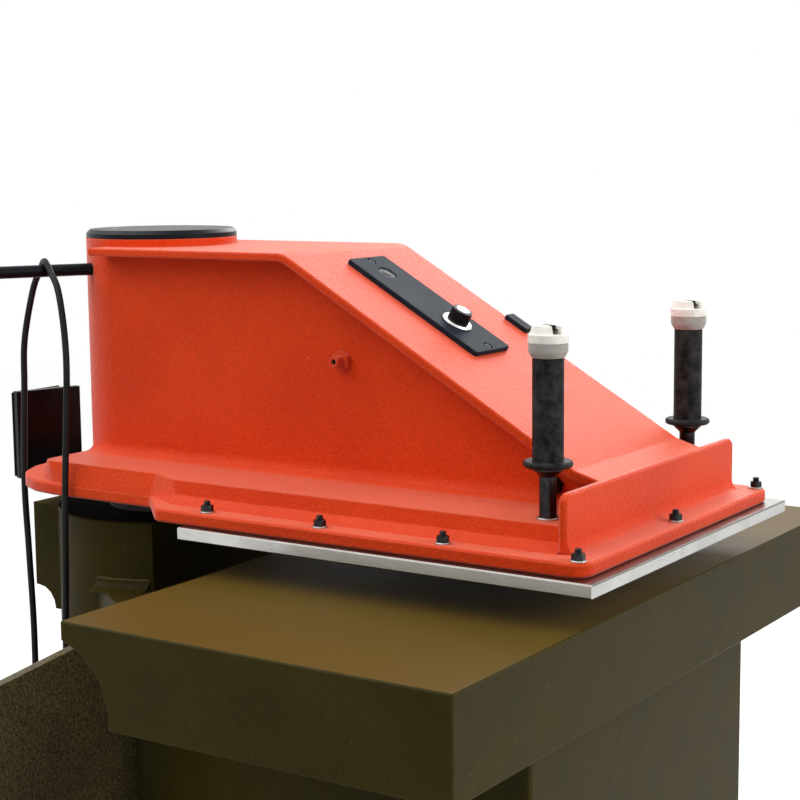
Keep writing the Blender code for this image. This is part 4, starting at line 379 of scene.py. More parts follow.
# Compression-moulded phenolic plate: charcoal, matt enough to take a grey bloom from the sky;
# its tone and the tint of its reflections painted bluish, as a painted reflection of the sky
panelPhenolic = mouldedPolymer({
    "name": "charcoalPhenolicMoulded", "tone": "#1A2029", "dull": "#232A33", "rough": 0.56,
    "ior": 1.58, "shine": 0.05, "glint": "#DCEBFF", "grainMm": 1.1, "grainDepthMm": 0.03,
    "touchMm": 30, "edgeMm": 0.8,
})
# Polished phenolic of the knobs: deep black with a sharp gleam
knobPhenolic = mouldedPolymer({
    "name": "blackPhenolicPolished", "tone": "#0B0A0A", "dull": "#121111", "rough": 0.34,
    "ior": 1.58, "shine": 0.08, "grainDepthMm": 0.005, "touchMm": 12, "edgeMm": 0.5,
})
# Injection-moulded ABS of the switch box: black, half gloss
boxAbs = mouldedPolymer({
    "name": "blackAbsMoulded", "tone": "#0C0B0C", "dull": "#131213", "rough": 0.28,
    "shine": 0.12, "grainMm": 1.2, "touchMm": 26, "touch": 0.5, "edgeMm": 0.8,
})
# Dipped nitrile sleeve: matt black with greyer patches where hands rub it
gripNitrile = mouldedPolymer({
    "name": "nitrileRubberDipped", "tone": "#101010", "dull": "#333332", "rough": 0.50,
    "ior": 1.52, "shine": 0.08, "grainMm": 1.5, "grainDepthMm": 0.10, "touchMm": 14,
    "touch": 1.0, "edgeMm": 0.8,
})
# Moulded nylon of the glands and buttons: black, waxy
blackNylon = mouldedPolymer({
    "name": "blackNylonMoulded", "tone": "#111112", "dull": "#1C1C1D", "rough": 0.40,
    "shine": 0.15, "grainMm": 1.1, "touchMm": 9,
})
# Grey ABS ring under the cap: warm grey, satin
ringAbs = mouldedPolymer({
    "name": "greyAbsMoulded", "tone": "#A5A29E", "dull": "#968E85", "rough": 0.46, "shine": 0.2,
    "touchMm": 12, "touch": 0.8, "edgeMm": 0.8,
})
# White nylon guard: milky, slightly grey and grubby in patches
guardNylon = mouldedPolymer({
    "name": "whiteNylonMoulded", "tone": "#F0EDE5", "dull": "#DEDAD0", "rough": 0.44,
    "shine": 0.3, "touchMm": 10, "touch": 0.9, "edgeMm": 1.4,
})
# Extruded PVC sheath of the lead: black with a dull sheen along it
cablePvc = mouldedPolymer({
    "name": "blackPvcExtruded", "tone": "#141415", "dull": "#232324", "rough": 0.38,
    "shine": 0.12, "grainMm": 2.0, "grainDepthMm": 0.04, "touchMm": 40, "edgeMm": 0.3,
})
# Braided hydraulic hose and the wiper: dull black rubber with fine cloth marks
hoseRubber = mouldedPolymer({
    "name": "wrappedHoseRubber", "tone": "#161616", "dull": "#262625", "rough": 0.58,
    "ior": 1.52, "shine": 0.15, "grainMm": 1.6, "grainDepthMm": 0.16, "touchMm": 20,
    "touch": 0.7,
})
# Dead black and dull, for the ring of painted shade on the column housing
shadeRingBlack = mouldedPolymer({
    "name": "deadBlackPaintedShade", "tone": "#060606", "dull": "#0B0B0A", "rough": 0.75,
    "ior": 1.52, "shine": 0.02, "grainMm": 2.0, "grainDepthMm": 0.10, "touchMm": 25,
    "touch": 0.7,
})
# Grey polycarbonate of the junction and terminal boxes: pale grey, satin
boxPolycarbonate = mouldedPolymer({
    "name": "greyPolycarbonateMoulded", "tone": "#8E9294", "dull": "#828688", "rough": 0.42,
    "ior": 1.58, "shine": 0.3, "grainMm": 1.2, "touchMm": 26, "touch": 0.5, "edgeMm": 1.0,
})
# Screen-printed ink for the marks on the switch: flat white
whiteInk = mouldedPolymer({
    "name": "whiteInkPrinted", "tone": "#D8D8D2", "dull": "#C4C4BE", "rough": 0.55, "ior": 1.5,
    "shine": 0.4, "grainMm": 0.8, "grainDepthMm": 0.01, "touchMm": 6, "edgeMm": 0.1,
})
# Cast acrylic sight glass with oil behind it: honey yellow, glossy
gaugeAcrylic = mouldedPolymer({
    "name": "amberAcrylicCast", "tone": "#B4812A", "dull": "#8E6420", "rough": 0.10, "ior": 1.49,
    "shine": 0.5, "grainMm": 6.0, "grainDepthMm": 0.01, "touchMm": 30, "touch": 0.8,
    "edgeMm": 0.5,
})
print("materials made")


# Small shapes in mesh code, each in its own local frame, with the z axis as its own axis


def lathe(profile, steps, shape=None):
    # profile runs from the top down the outer side as (radius, height) pairs
    shape = shape or bmesh.new()
    rings = []
    for radius, height in profile:
        if radius == 0:
            rings.append([shape.verts.new((0, 0, height))])
            continue
        turns = [2 * math.pi * k / steps for k in range(steps)]
        rings.append([
            shape.verts.new((radius * math.cos(turn), radius * math.sin(turn), height))
            for turn in turns])
    for upper, lower in zip(rings, rings[1:]):
        count = max(len(upper), len(lower))
        for k in range(count if count > 1 else 0):
            after = (k + 1) % count
            if len(upper) == 1:
                shape.faces.new((upper[0], lower[k], lower[after]))
            elif len(lower) == 1:
                shape.faces.new((upper[k], lower[0], upper[after]))
            else:
                shape.faces.new((upper[k], lower[k], lower[after], upper[after]))
    return shape


def ringOf(profile, steps):
    return lathe(profile + [profile[0]], steps)


def disc(radius, height, steps):
    return lathe([(0, height), (radius, height), (radius, 0), (0, 0)], steps)


def flatRing(inner, outer, height, steps):
    return ringOf([(inner, height), (outer, height), (outer, 0), (inner, 0)], steps)


def block(low, high):
    shape = bmesh.new()
    corners = [
        shape.verts.new((x, y, z))
        for x in (low[0], high[0]) for y in (low[1], high[1]) for z in (low[2], high[2])]
    sides = ((0, 1, 3, 2), (4, 6, 7, 5), (0, 4, 5, 1), (2, 3, 7, 6), (0, 2, 6, 4), (1, 5, 7, 3))
    for side in sides:
        shape.faces.new([corners[k] for k in side])
    return shape


def softened(shape, width):
    # rounds every edge that turns by more than 30 degrees
    bmesh.ops.recalc_face_normals(shape, faces=shape.faces)
    sharp = [
        e for e in shape.edges
        if len(e.link_faces) == 2 and e.calc_face_angle() > math.radians(30)]
    bmesh.ops.bevel(
        shape, geom=sharp, offset=width, segments=2, profile=0.5, affect="EDGES",
        clamp_overlap=True)
    return shape


def copies(part, places, shape=None):
    # adds the part to the shape at each place, and uses the part up
    shape = shape or bmesh.new()
    for place in places:
        holder = bpy.data.meshes.new("copy")
        part.to_mesh(holder)
        holder.transform(place)
        shape.from_mesh(holder)
        bpy.data.meshes.remove(holder)
    part.free()
    return shape


def finishPiece(name, shape, material, body, place=None, crease=38):
    bmesh.ops.remove_doubles(shape, verts=shape.verts, dist=1e-7)
    bmesh.ops.recalc_face_normals(shape, faces=shape.faces)
    for face in shape.faces:
        face.smooth = True
    for edge in shape.edges:
        edge.smooth = len(edge.link_faces) == 2 and edge.calc_face_angle() < math.radians(crease)
    mesh = bpy.data.meshes.new(name)
    shape.to_mesh(mesh)
    shape.free()
    mesh.materials.append(material)
    made = addObject(name, mesh)
    if place is not None:
        made.matrix_world = place
    if body:
        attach(made, body)
    return made


def middleOf(node):
    return tuple((low + high) / 2 for low, high in zip(*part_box(node)))


def upright(x, y, z, turn=0):
    return Matrix.Translation((x, y, z)) @ Matrix.Rotation(turn, 4, "Z")


def facing(spot, direction, turn=0):
    # local z runs along the direction
    tilt = Vector((0, 0, 1)).rotation_difference(Vector(direction)).to_matrix().to_4x4()
    return Matrix.Translation(spot) @ tilt @ Matrix.Rotation(turn, 4, "Z")


def hexNut(across, height, shape=None, low=0):
    # a hexagon whose corners are cut back by a cone at its top, with flats at 30 and 90 degrees
    shape = shape or bmesh.new()
    steps = 24
    drop = height * 0.16
    reach = across / math.sqrt(3)
    rings = []
    for level, limit in ((low, reach), (low + height - drop, reach), (low + height, across / 2)):
        ring = []
        for k in range(steps):
            turn = 2 * math.pi * k / steps
            inside = (turn + math.pi / 6) % (math.pi / 3) - math.pi / 6
            side = across / 2 / math.cos(math.pi / 6 - abs(inside))
            radius = min(side, limit)
            ring.append(shape.verts.new((radius * math.cos(turn), radius * math.sin(turn), level)))
        rings.append(ring)
    for lower, upper in zip(rings, rings[1:]):
        for k in range(steps):
            after = (k + 1) % steps
            shape.faces.new((lower[k], lower[after], upper[after], upper[k]))
    shape.faces.new(rings[0][::-1])
    shape.faces.new(rings[-1])
    return shape


def threadedEnd(radius, low, high, pitch, depth):
    # ridges of a screw thread, drawn as rings, with a chamfered tip
    rows = [(0, high), (radius - 2 * depth, high), (radius - depth, high - depth)]
    turns = max(int((high - low) / pitch), 1)
    step = (high - depth - low) / turns
    for k in range(turns):
        rows.append((radius, high - depth - step * (k + 0.4)))
        rows.append((radius - depth, high - depth - step * (k + 1)))
    return rows + [(0, low)]


def socketScrew(headRadius, headHeight, socket):
    # cylinder head with a hexagon socket
    rim = headRadius * 0.12
    floor = headHeight * 0.35
    shape = lathe(
        [(socket * 1.1, headHeight), (headRadius - rim, headHeight),
         (headRadius, headHeight - rim), (headRadius, 0)], 24)
    return lathe(
        [(socket * 1.1, headHeight), (socket, headHeight - rim / 2), (socket, floor),
         (0, floor * 0.8)], 6, shape)


def hexBolt(across, headHeight, washerRadius, washerThickness):
    return hexNut(across, headHeight, disc(washerRadius, washerThickness, 24), washerThickness)


def panScrew(radius, height):
    # domed head with a cross recess
    shape = bmesh.new()
    rows = [
        (radius * math.cos(turn), height * math.sin(turn)) for turn in (1.35, 1.1, 0.8, 0.45, 0)]
    lathe([(0, height)] + rows, 20, shape)
    arm, width = radius * 0.52, radius * 0.11
    for turn in (0, math.pi / 2):
        slot = block((-arm, -width, height * 0.88), (arm, width, height * 1.03))
        copies(slot, [Matrix.Rotation(turn, 4, "Z")], shape)
    return shape


def smoothRoute(route, between):
    # points on a smooth curve through the route's own points, straight at both ends
    points = [Vector(route[0])]
    route = [Vector(p) for p in route]
    last = len(route) - 1
    for i in range(last):
        before, start = route[max(i - 1, 0)], route[i]
        end, after = route[i + 1], route[min(i + 2, last)]
        for k in range(1, between + 1):
            t = k / between
            if i in (0, last - 1):
                points.append(start.lerp(end, t))
                continue
            points.append((
                2 * start + (end - before) * t + (2 * before - 5 * start + 4 * end - after) * t ** 2
                + (3 * start - before - 3 * end + after) * t ** 3) / 2)
    return points


def tube(path, radius, sides, shape=None, ripple=0):
    # a ripple over 0 swells every other ring by that share of the radius
    shape = shape or bmesh.new()
    path = [Vector(p) for p in path]
    last = len(path) - 1
    ahead = [
        (path[min(k + 1, last)] - path[max(k - 1, 0)]).normalized() for k in range(last + 1)]
    across = ahead[0].orthogonal().normalized()
    rings = []
    for k, spot in enumerate(path):
        if k:
            across = ahead[k - 1].rotation_difference(ahead[k]) @ across
        other = ahead[k].cross(across)
        reach = radius * (1 + ripple * math.sin(k * 2.1) + ripple / 2 * math.sin(k * 0.37))
        ring = []
        for j in range(sides):
            turn = 2 * math.pi * j / sides
            ring.append(shape.verts.new(
                spot + reach * (math.cos(turn) * across + math.sin(turn) * other)))
        rings.append(ring)
    for lower, upper in zip(rings, rings[1:]):
        for j in range(sides):
            after = (j + 1) % sides
            shape.faces.new((lower[j], lower[after], upper[after], upper[j]))
    shape.faces.new(rings[0][::-1])
    shape.faces.new(rings[-1])
    return shape


# The lead leaves a gland on the cabinet, hangs over the bar on the arm and goes back down

lead = {
    "radius": 0.0043,
    "deck": 0.580,
    "dip": 0.020,  # how far its ends run on below the deck
    "glandRise": 0.030,
    "front": (-0.2140, -0.0040),
    "rear": (-0.1560, 0.1090),
    "route": (
        (-0.2140, -0.0040, 0.655), (-0.2115, -0.0040, 0.740), (-0.2055, -0.0030, 0.860),
        (-0.1970, 0.0010, 0.966), (-0.1885, 0.0005, 1.091), (-0.1780, 0.0105, 1.155),
        (-0.1620, 0.0350, 1.215), (-0.1500, 0.0610, 1.241), (-0.1468, 0.0695, 1.2490),
        (-0.1430, 0.0760, 1.2515), (-0.1392, 0.0832, 1.2490), (-0.1340, 0.0930, 1.2390),
        (-0.1275, 0.1145, 1.2130), (-0.1260, 0.1355, 1.1440), (-0.1255, 0.1400, 1.0770),
        (-0.1270, 0.1450, 0.9560), (-0.1320, 0.1365, 0.8600), (-0.1410, 0.1235, 0.7600),
        (-0.1560, 0.1090, 0.6550)),
    "stays": 0.800,  # height where it starts to turn with the arm
    "turns": 1.190,  # height from where it turns with the arm as a whole
}


def makeLead():
    low = lead["deck"] - lead["dip"]
    rise = lead["deck"] + lead["glandRise"]
    route = [(*lead["front"], low), (*lead["front"], rise)]
    route += list(lead["route"])
    route += [(*lead["rear"], rise), (*lead["rear"], low)]
    path = smoothRoute(route, 6)
    made = finishPiece("hangingLead", tube(path, lead["radius"], 14), cablePvc, None, crease=60)
    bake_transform(made)
    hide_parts("hanging_lead")


makeLead()


# Studs of the strike plate: zinc washers, blackened nuts and threaded tips

studs = {
    "across": 0.0130,
    "nutHeight": 0.0068,
    "washerRadius": 0.0090,
    "washerThickness": 0.0016,
    "threadRadius": 0.0040,
    "threadPitch": 0.00125,
    "threadDepth": 0.0005,
    "tip": 0.0050,
    "turns": (10, 48, 25, 5, 38, 52, 17, 30, 44),  # degrees, as each nut came to rest
}


def washerShape(hole, radius, thickness):
    edge = thickness / 5
    return ringOf([
        (hole, thickness), (radius - edge, thickness), (radius, thickness - edge), (radius, 0),
        (hole, 0)], 28)


def makeStuds():
    places = []
    for k, turn in enumerate(studs["turns"], 1):
        low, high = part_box(f"plate_stud_{k}")
        x, y = middleOf(f"plate_stud_{k}")[:2]
        nutLow = high[2] - studs["tip"] - studs["nutHeight"]
        shape = hexNut(studs["across"], studs["nutHeight"], low=nutLow)
        thread = threadedEnd(
            studs["threadRadius"], low[2], high[2], studs["threadPitch"], studs["threadDepth"])
        lathe(thread, 16, shape)
        made = finishPiece(
            f"plateStud{k}", shape, blackOxide, "arm", upright(x, y, 0, math.radians(turn)))
        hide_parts(f"plate_stud_{k}")
        places.append(upright(x, y, nutLow - studs["washerThickness"]))
    washer = washerShape(
        studs["threadRadius"], studs["washerRadius"], studs["washerThickness"])
    finishPiece("plateStudWashers", copies(washer, places), zincPlate, "arm")
    print("studs made:", len(places))


makeStuds()


# Handles: a bright washer under each rod, and the cord that runs from the web into it

handles = {
    "place": (0.1758, -0.6848),
    "washerLow": 0.9985,
    "washerThickness": 0.0019,
    "washerRadius": 0.0128,
    "rodRadius": 0.0095,
    "cordHeight": 1.0195,
    "webFace": (0.1000, -0.6520),
    "cordBend": (0.1480, -0.6640),
    "cordRadius": 0.0040,
    "glandAcross": 0.0190,
    "glandNut": 0.0060,
    "glandDomeRadius": 0.0082,
    "glandLength": 0.0170,
}


def glandShape(across, nutHeight, domeRadius, length, cordRadius):
    # hexagon foot, fluted dome nut and a rounded seal round the cord
    shape = hexNut(across, nutHeight)
    waist = nutHeight * 0.25
    low = nutHeight + waist
    lathe([(domeRadius * 0.8, low), (domeRadius * 0.8, nutHeight)], 24, shape)
    rise = length - low
    lathe([
        (cordRadius, length), (cordRadius * 1.3, length), (domeRadius * 0.80, length - rise * 0.2),
        (domeRadius * 0.95, length - rise * 0.45), (domeRadius, length - rise * 0.6),
        (domeRadius, low), (0, low)], 24, shape)
    return shape


def makeHandleFittings():
    washer = washerShape(
        handles["rodRadius"], handles["washerRadius"], handles["washerThickness"])
    x, y = handles["place"]
    places = [upright(side * x, y, handles["washerLow"]) for side in (-1, 1)]
    finishPiece("handleWashers", copies(washer, places), zincPlate, "arm")
    level = handles["cordHeight"]
    for name, side in (("Near", -1), ("Far", 1)):
        root = Vector((side * handles["webFace"][0], handles["webFace"][1], level))
        bend = Vector((side * handles["cordBend"][0], handles["cordBend"][1], level))
        end = Vector((side * x, y, level))
        end += (bend - end).normalized() * handles["rodRadius"] * 0.9
        shape = tube(smoothRoute([root, root.lerp(bend, 0.5), bend, end], 5),
                     handles["cordRadius"], 14)
        gland = glandShape(
            handles["glandAcross"], handles["glandNut"], handles["glandDomeRadius"],
            handles["glandLength"], handles["cordRadius"])
        copies(gland, [facing(root, bend - root)], shape)
        finishPiece(f"webGland{name}", shape, blackNylon, "arm")
    print("handle fittings made")


makeHandleFittings()


# Panel on the slope: its screws, the blind plug and the small marks beside it

slope = {
    "centre": (0, -0.4203, 1.20065),
    "angle": math.radians(30),
    "panelTop": 0.0065,
    "recessFloor": 0.0040,
}
panel = {
    "screwAlong": 0.0960,
    "screwRadius": 0.0042,
    "screwHeight": 0.0022,
    "screwSocket": 0.0019,
    "plugAlong": 0.0690,
    "plugRadius": 0.0114,
    "plugHeight": 0.0016,
    "dot": (-0.0136, 0.0719),
    "dotRadius": 0.0011,
    "tick": (-0.0250, -0.0528),
    "tickSize": (0.0030, 0.0011),
    "inkRise": 0.00008,
}


def onSlope(across, along, lift):
    return (
        Matrix.Translation(slope["centre"]) @ Matrix.Rotation(slope["angle"], 4, "X")
        @ Matrix.Translation((across, along, lift)))


def makePanelPieces():
    screw = socketScrew(panel["screwRadius"], panel["screwHeight"], panel["screwSocket"])
    places = [onSlope(0, side * panel["screwAlong"], slope["recessFloor"]) for side in (-1, 1)]
    finishPiece("panelScrews", copies(screw, places), blackNylon, "arm")
    radius, height = panel["plugRadius"], panel["plugHeight"]
    plug = lathe([
        (0, height), (radius * 0.62, height), (radius * 0.68, height * 0.75),
        (radius * 0.74, height), (radius * 0.94, height), (radius, height * 0.75), (radius, 0),
        (0, 0)], 36)
    finishPiece("panelPlug", plug, knobPhenolic, "arm",
                onSlope(0, panel["plugAlong"], slope["recessFloor"]))
    dot = disc(panel["dotRadius"], panel["inkRise"], 16)
    half = [size / 2 for size in panel["tickSize"]]
    tick = block((-half[0], -half[1], 0), (*half, panel["inkRise"]))
    shape = copies(dot, [onSlope(*panel["dot"], slope["panelTop"])])
    copies(tick, [onSlope(*panel["tick"], slope["panelTop"])], shape)
    finishPiece("panelMarks", shape, knobPhenolic, "arm")
    print("panel pieces made")


makePanelPieces()


# Knob: a turned aluminium disc set in its face, with the rings that the tool left

knob = {
    "along": -0.0456,
    "faceRadius": 0.0082,
    "faceThickness": 0.0005,
    "rings": 7,
    "ringDepth": 0.00012,
}


def makeKnobFace():
    foot = onSlope(0, knob["along"], 0)
    normal = foot.to_3x3() @ Vector((0, 0, 1))
    top = max(
        normal.dot(v.co - foot.translation) for v in nodes["control_knob"].data.vertices)
    rows = [(0, knob["faceThickness"])]
    step = knob["faceRadius"] / (knob["rings"] + 1)
    for k in range(1, knob["rings"] + 1):
        rows += [
            (step * (k - 0.25), knob["faceThickness"]),
            (step * k, knob["faceThickness"] - knob["ringDepth"])]
    rows += [(knob["faceRadius"], knob["faceThickness"]), (knob["faceRadius"], 0), (0, 0)]
    finishPiece("knobFace", lathe(rows, 36), satinAluminium, "knob",
                onSlope(0, knob["along"], top), crease=50)
    print("knob face made")


makeKnobFace()


# Small hardware on the arm: open ports of the hexagon fittings, each with a black disc of
# painted shade at the foot of its bore, and the screw of the cap

armHardware = {
    "portRadius": 0.0034,
    "stubRadius": 0.0064,
    "stubLength": 0.0032,
    "capScrew": (-0.0289, 0.0568),
    "capScrewRadius": 0.0046,
    "capScrewSocket": 0.0027,
    "capScrewSink": 0.0015,
}


def makeArmHardware():
    look = armHardware
    for name, side, node in (
            ("Near", -1, "hex_fitting_near"), ("Far", 1, "hex_fitting_far")):
        low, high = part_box(node)
        spot = (low[0] if side < 0 else high[0], *middleOf(node)[1:])
        bore, rim, length = look["portRadius"], look["stubRadius"], look["stubLength"]
        stub = ringOf([
            (bore, length), (rim * 0.9, length), (rim, length * 0.8), (rim, 0), (bore, 0)], 28)
        finishPiece(f"fittingStub{name}", stub, orangeEnamel, "arm", facing(spot, (side, 0, 0)))
        # a black disc at the foot of the bore: painted shade inside the open port
        floor = disc(bore * 1.05, length * 0.1, 20)
        finishPiece(f"fittingPortShade{name}", floor, hoseRubber, "arm", facing(spot, (side, 0, 0)))
    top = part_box("column_cap")[1][2]
    sink = look["capScrewSink"]
    head = ringOf([
        (look["capScrewSocket"], sink), (look["capScrewRadius"] * 0.9, sink),
        (look["capScrewRadius"], sink * 0.8), (look["capScrewRadius"], 0),
        (look["capScrewSocket"], 0)], 24)
    finishPiece("capScrewHead", head, zincPlate, "arm",
                upright(*look["capScrew"], top - sink * 0.95))
    print("arm hardware made")


makeArmHardware()


# A dead black ring lies on the top of the column housing, inside its rim: painted shade in
# the gap under the hub

housingShadeRing = {
    "inner": 0.0800,
    "outer": 0.1480,
    "thickness": 0.00015,  # thin enough for the hub to come down over it
}


def makeHousingShadeRing():
    shape = flatRing(housingShadeRing["inner"], housingShadeRing["outer"], housingShadeRing["thickness"], 64)
    finishPiece("housingShadeRing", shape, shadeRingBlack, "base",
                upright(0, 0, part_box("column_housing")[1][2]))
    print("painted shade ring made")


makeHousingShadeRing()


# Electric box and junction box: a lid with a rounded edge and four screws at the rear

boxLids = {
    "inset": 0.0020,
    "rise": 0.0030,
    "screwInset": 0.0080,
    "electricBoxLid": ("electric_box", boxAbs, 0.0030),  # node, material, screw radius
    "junctionBoxLid": ("junction_box", boxPolycarbonate, 0.0026),
}


def makeBoxLids():
    inset, rise, screwInset = boxLids["inset"], boxLids["rise"], boxLids["screwInset"]
    for name in ("electricBoxLid", "junctionBoxLid"):
        node, material, radius = boxLids[name]
        low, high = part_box(node)
        halfWide = (high[0] - low[0]) / 2 - inset
        halfHigh = (high[2] - low[2]) / 2 - inset
        shape = softened(block((-halfWide, -halfHigh, 0), (halfWide, halfHigh, rise)), rise * 0.45)
        middle = middleOf(node)
        place = Matrix.Translation((middle[0], high[1], middle[2]))
        place = place @ Matrix.Rotation(math.radians(-90), 4, "X")
        finishPiece(name, shape, material, "base", place)
        places = [
            place @ Matrix.Translation((
                i * (halfWide - screwInset), j * (halfHigh - screwInset), rise))
            for i in (-1, 1) for j in (-1, 1)]
        screws = copies(panScrew(radius, radius * 0.5), places)
        finishPiece(name + "Screws", screws, zincPlate, "base")
    print("box lids made")


makeBoxLids()


# Switch on the near wing: its two screws, a nought and a one, and the pointer on the grip

switch = {
    "screwOut": 0.0270,
    "screwRadius": 0.0034,
    "markOut": 0.0250,
    "markSize": 0.0060,
    "stroke": 0.0009,
    "pointerLength": 0.0140,
    "pointerWidth": 0.0022,
}


def makeSwitchMarks():
    middle = (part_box("switch_plate")[0][0], *middleOf("switch_plate")[1:])
    # local x runs forwards and local y upwards on the plate's near face
    place = Matrix.Translation(middle) @ Matrix((
        (0, 0, -1, 0), (-1, 0, 0, 0), (0, 1, 0, 0), (0, 0, 0, 1)))
    screw = panScrew(switch["screwRadius"], switch["screwRadius"] * 0.5)
    out = switch["screwOut"]
    places = [
        place @ Matrix.Translation((i * out, j * out, 0)) for i, j in ((-1, 1), (1, -1))]
    finishPiece("switchScrews", copies(screw, places), zincPlate, "base")
    stroke, size = switch["stroke"], switch["markSize"]
    rise = stroke / 8
    nought = flatRing(size / 2 - stroke, size / 2, rise, 20)
    one = block((-stroke / 2, -size / 2, 0), (stroke / 2, size / 2, rise))
    shape = copies(nought, [place @ Matrix.Translation((0, switch["markOut"], 0))])
    copies(one, [place @ Matrix.Translation((switch["markOut"], 0, 0))], shape)
    finishPiece("switchMarks", shape, whiteInk, "base")
    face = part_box("switch_knob")[0][0]
    half = switch["pointerWidth"] / 2
    line = block((-half, 0, 0), (half, switch["pointerLength"], rise))
    finishPiece("switchPointer", line, whiteInk, "switch",
                Matrix.Translation((face - middle[0], 0, 0)) @ place)
    print("switch marks made")


makeSwitchMarks()


# Rear door: screws of the hinge leaves and a cam lock

door = {
    "leafScrewX": (0.4520, 0.4660),
    "leafFace": 0.3410,
    "leafSpread": 0.0170,
    "hingeHeights": (0.1263, 0.4740),
    "screwRadius": 0.0034,
    "lockPlace": (-0.4260, 0.3343, 0.4150),
    "lockRadius": 0.0140,
    "barrelRadius": 0.0095,
    "lockRise": 0.0050,
    "slotTurn": math.radians(35),
}


def makeDoorHardware():
    screw = panScrew(door["screwRadius"], door["screwRadius"] * 0.5)
    places = [
        facing((x, door["leafFace"], height + side * door["leafSpread"]), (0, 1, 0))
        for x in door["leafScrewX"] for height in door["hingeHeights"] for side in (-1, 1)]
    finishPiece("doorLeafScrews", copies(screw, places), zincPlate, "door")
    outer, inner, rise = door["lockRadius"], door["barrelRadius"], door["lockRise"]
    shape = lathe([
        (inner, rise * 0.5), (outer * 0.9, rise * 0.5), (outer, rise * 0.2), (outer, 0)], 36)
    lathe([(0, rise), (inner * 0.92, rise), (inner, rise * 0.85), (inner, rise * 0.4)], 36, shape)
    slot = block(
        (-inner * 0.12, -inner * 0.7, rise * 0.9), (inner * 0.12, inner * 0.7, rise * 1.04))
    copies(slot, [Matrix.Rotation(door["slotTurn"], 4, "Z")], shape)
    finishPiece("doorLock", shape, zincPlate, "door", facing(door["lockPlace"], (0, 1, 0)))
    print("door hardware made")


makeDoorHardware()


# Power pack behind the door: tank fittings, motor, pump, valve, hose and pipe ends

tank = {
    "capY": 0.2460,
    "capRadius": 0.0286,
    "lidTop": 0.3203,
    "ribs": 28,
    "ribSize": (0.0020, 0.0024),
    "gaugeX": -0.4000,
    "gaugeEnds": (0.0700, 0.2300),
    "gaugeHalfWidth": 0.0110,
    "gaugeDepth": 0.0120,
    "gaugeBolt": (0.0130, 0.0050, 0.0080, 0.0010),  # across, head, washer radius, thickness
    "drainPlace": (-0.3000, 0.0450),  # x and height
    "drainBolt": (0.0190, 0.0080, 0.0130, 0.0015),
    "lidScrewInset": 0.0140,
    "lidScrewRadius": 0.0040,
}


def makeTankFittings():
    look = tank
    low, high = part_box("oil_tank")
    middle = middleOf("oil_tank")
    lidTop, rise, wide, deep = look["lidTop"], high[2] - look["lidTop"], *look["ribSize"]
    rib = block((-wide / 2, -deep / 3, rise * 0.10), (wide / 2, deep / 3 * 2, rise * 0.72))
    places = [
        upright(middle[0], look["capY"], lidTop)
        @ Matrix.Rotation(2 * math.pi * k / look["ribs"], 4, "Z")
        @ Matrix.Translation((0, look["capRadius"], 0)) for k in range(look["ribs"])]
    finishPiece("fillerCapRibs", copies(rib, places), blackNylon, "base")
    x, half, depth = look["gaugeX"], look["gaugeHalfWidth"], look["gaugeDepth"]
    rear, ends = high[1], look["gaugeEnds"]
    frameShape = bmesh.new()
    for level in ends:
        end = softened(block(
            (x - half, rear, level - half * 1.6), (x + half, rear + depth, level + half * 1.6)),
            0.0025)
        copies(end, [Matrix()], frameShape)
        copies(hexBolt(*look["gaugeBolt"]), [facing((x, rear + depth, level), (0, 1, 0))],
               frameShape)
    finishPiece("levelGaugeFrame", frameShape, blackNylon, "base")
    glass = softened(block(
        (x - half * 0.7, rear, ends[0]), (x + half * 0.7, rear + depth * 0.8, ends[1])), 0.0035)
    finishPiece("levelGaugeGlass", glass, gaugeAcrylic, "base")
    drainX, drainHeight = look["drainPlace"]
    finishPiece("tankDrainPlug", hexBolt(*look["drainBolt"]), zincPlate, "base",
                facing((drainX, rear, drainHeight), (0, 1, 0)))
    inset, radius = look["lidScrewInset"], look["lidScrewRadius"]
    places = [
        upright(i, j, lidTop)
        for i in (low[0] + inset, high[0] - inset)
        for j in (low[1] + inset, middle[1], high[1] - inset)]
    finishPiece("tankLidScrews", copies(panScrew(radius, radius * 0.5), places), zincPlate, "base")
    print("tank fittings made")


makeTankFittings()

motor = {
    "axis": (0.3500, 0.1200),  # x and height
    "radius": 0.0785,
    "boxMiddle": 0.1350,
    "boxSize": (0.0660, 0.0780, 0.0300),
    "boxFoot": 0.0060,
    "boxRound": 0.0040,
    "lidOverhang": 0.0010,
    "lidRise": 0.0040,
    "boxScrewRadius": 0.0030,
    "gland": (0.0200, 0.0060, 0.0090, 0.0190, 0.0040),  # as glandShape takes them
    "guardRings": (0.0180, 0.0310, 0.0440, 0.0570),
    "wireRadius": 0.0013,
    "coverRise": 0.0005,
    "eyePlace": 0.0600,
    "eyeRadius": 0.0110,
    "eyeWire": 0.0028,
    "eyeRise": 0.0050,
    "eyeFoot": ((0, 0.006), (0.007, 0.006), (0.009, 0.003), (0.009, -0.004), (0, -0.004)),
}


def ringTube(radius, wire, steps=40):
    sides = [2 * math.pi * k / 8 for k in range(8)]
    return ringOf([(radius + wire * math.cos(t), wire * math.sin(t)) for t in sides], steps)


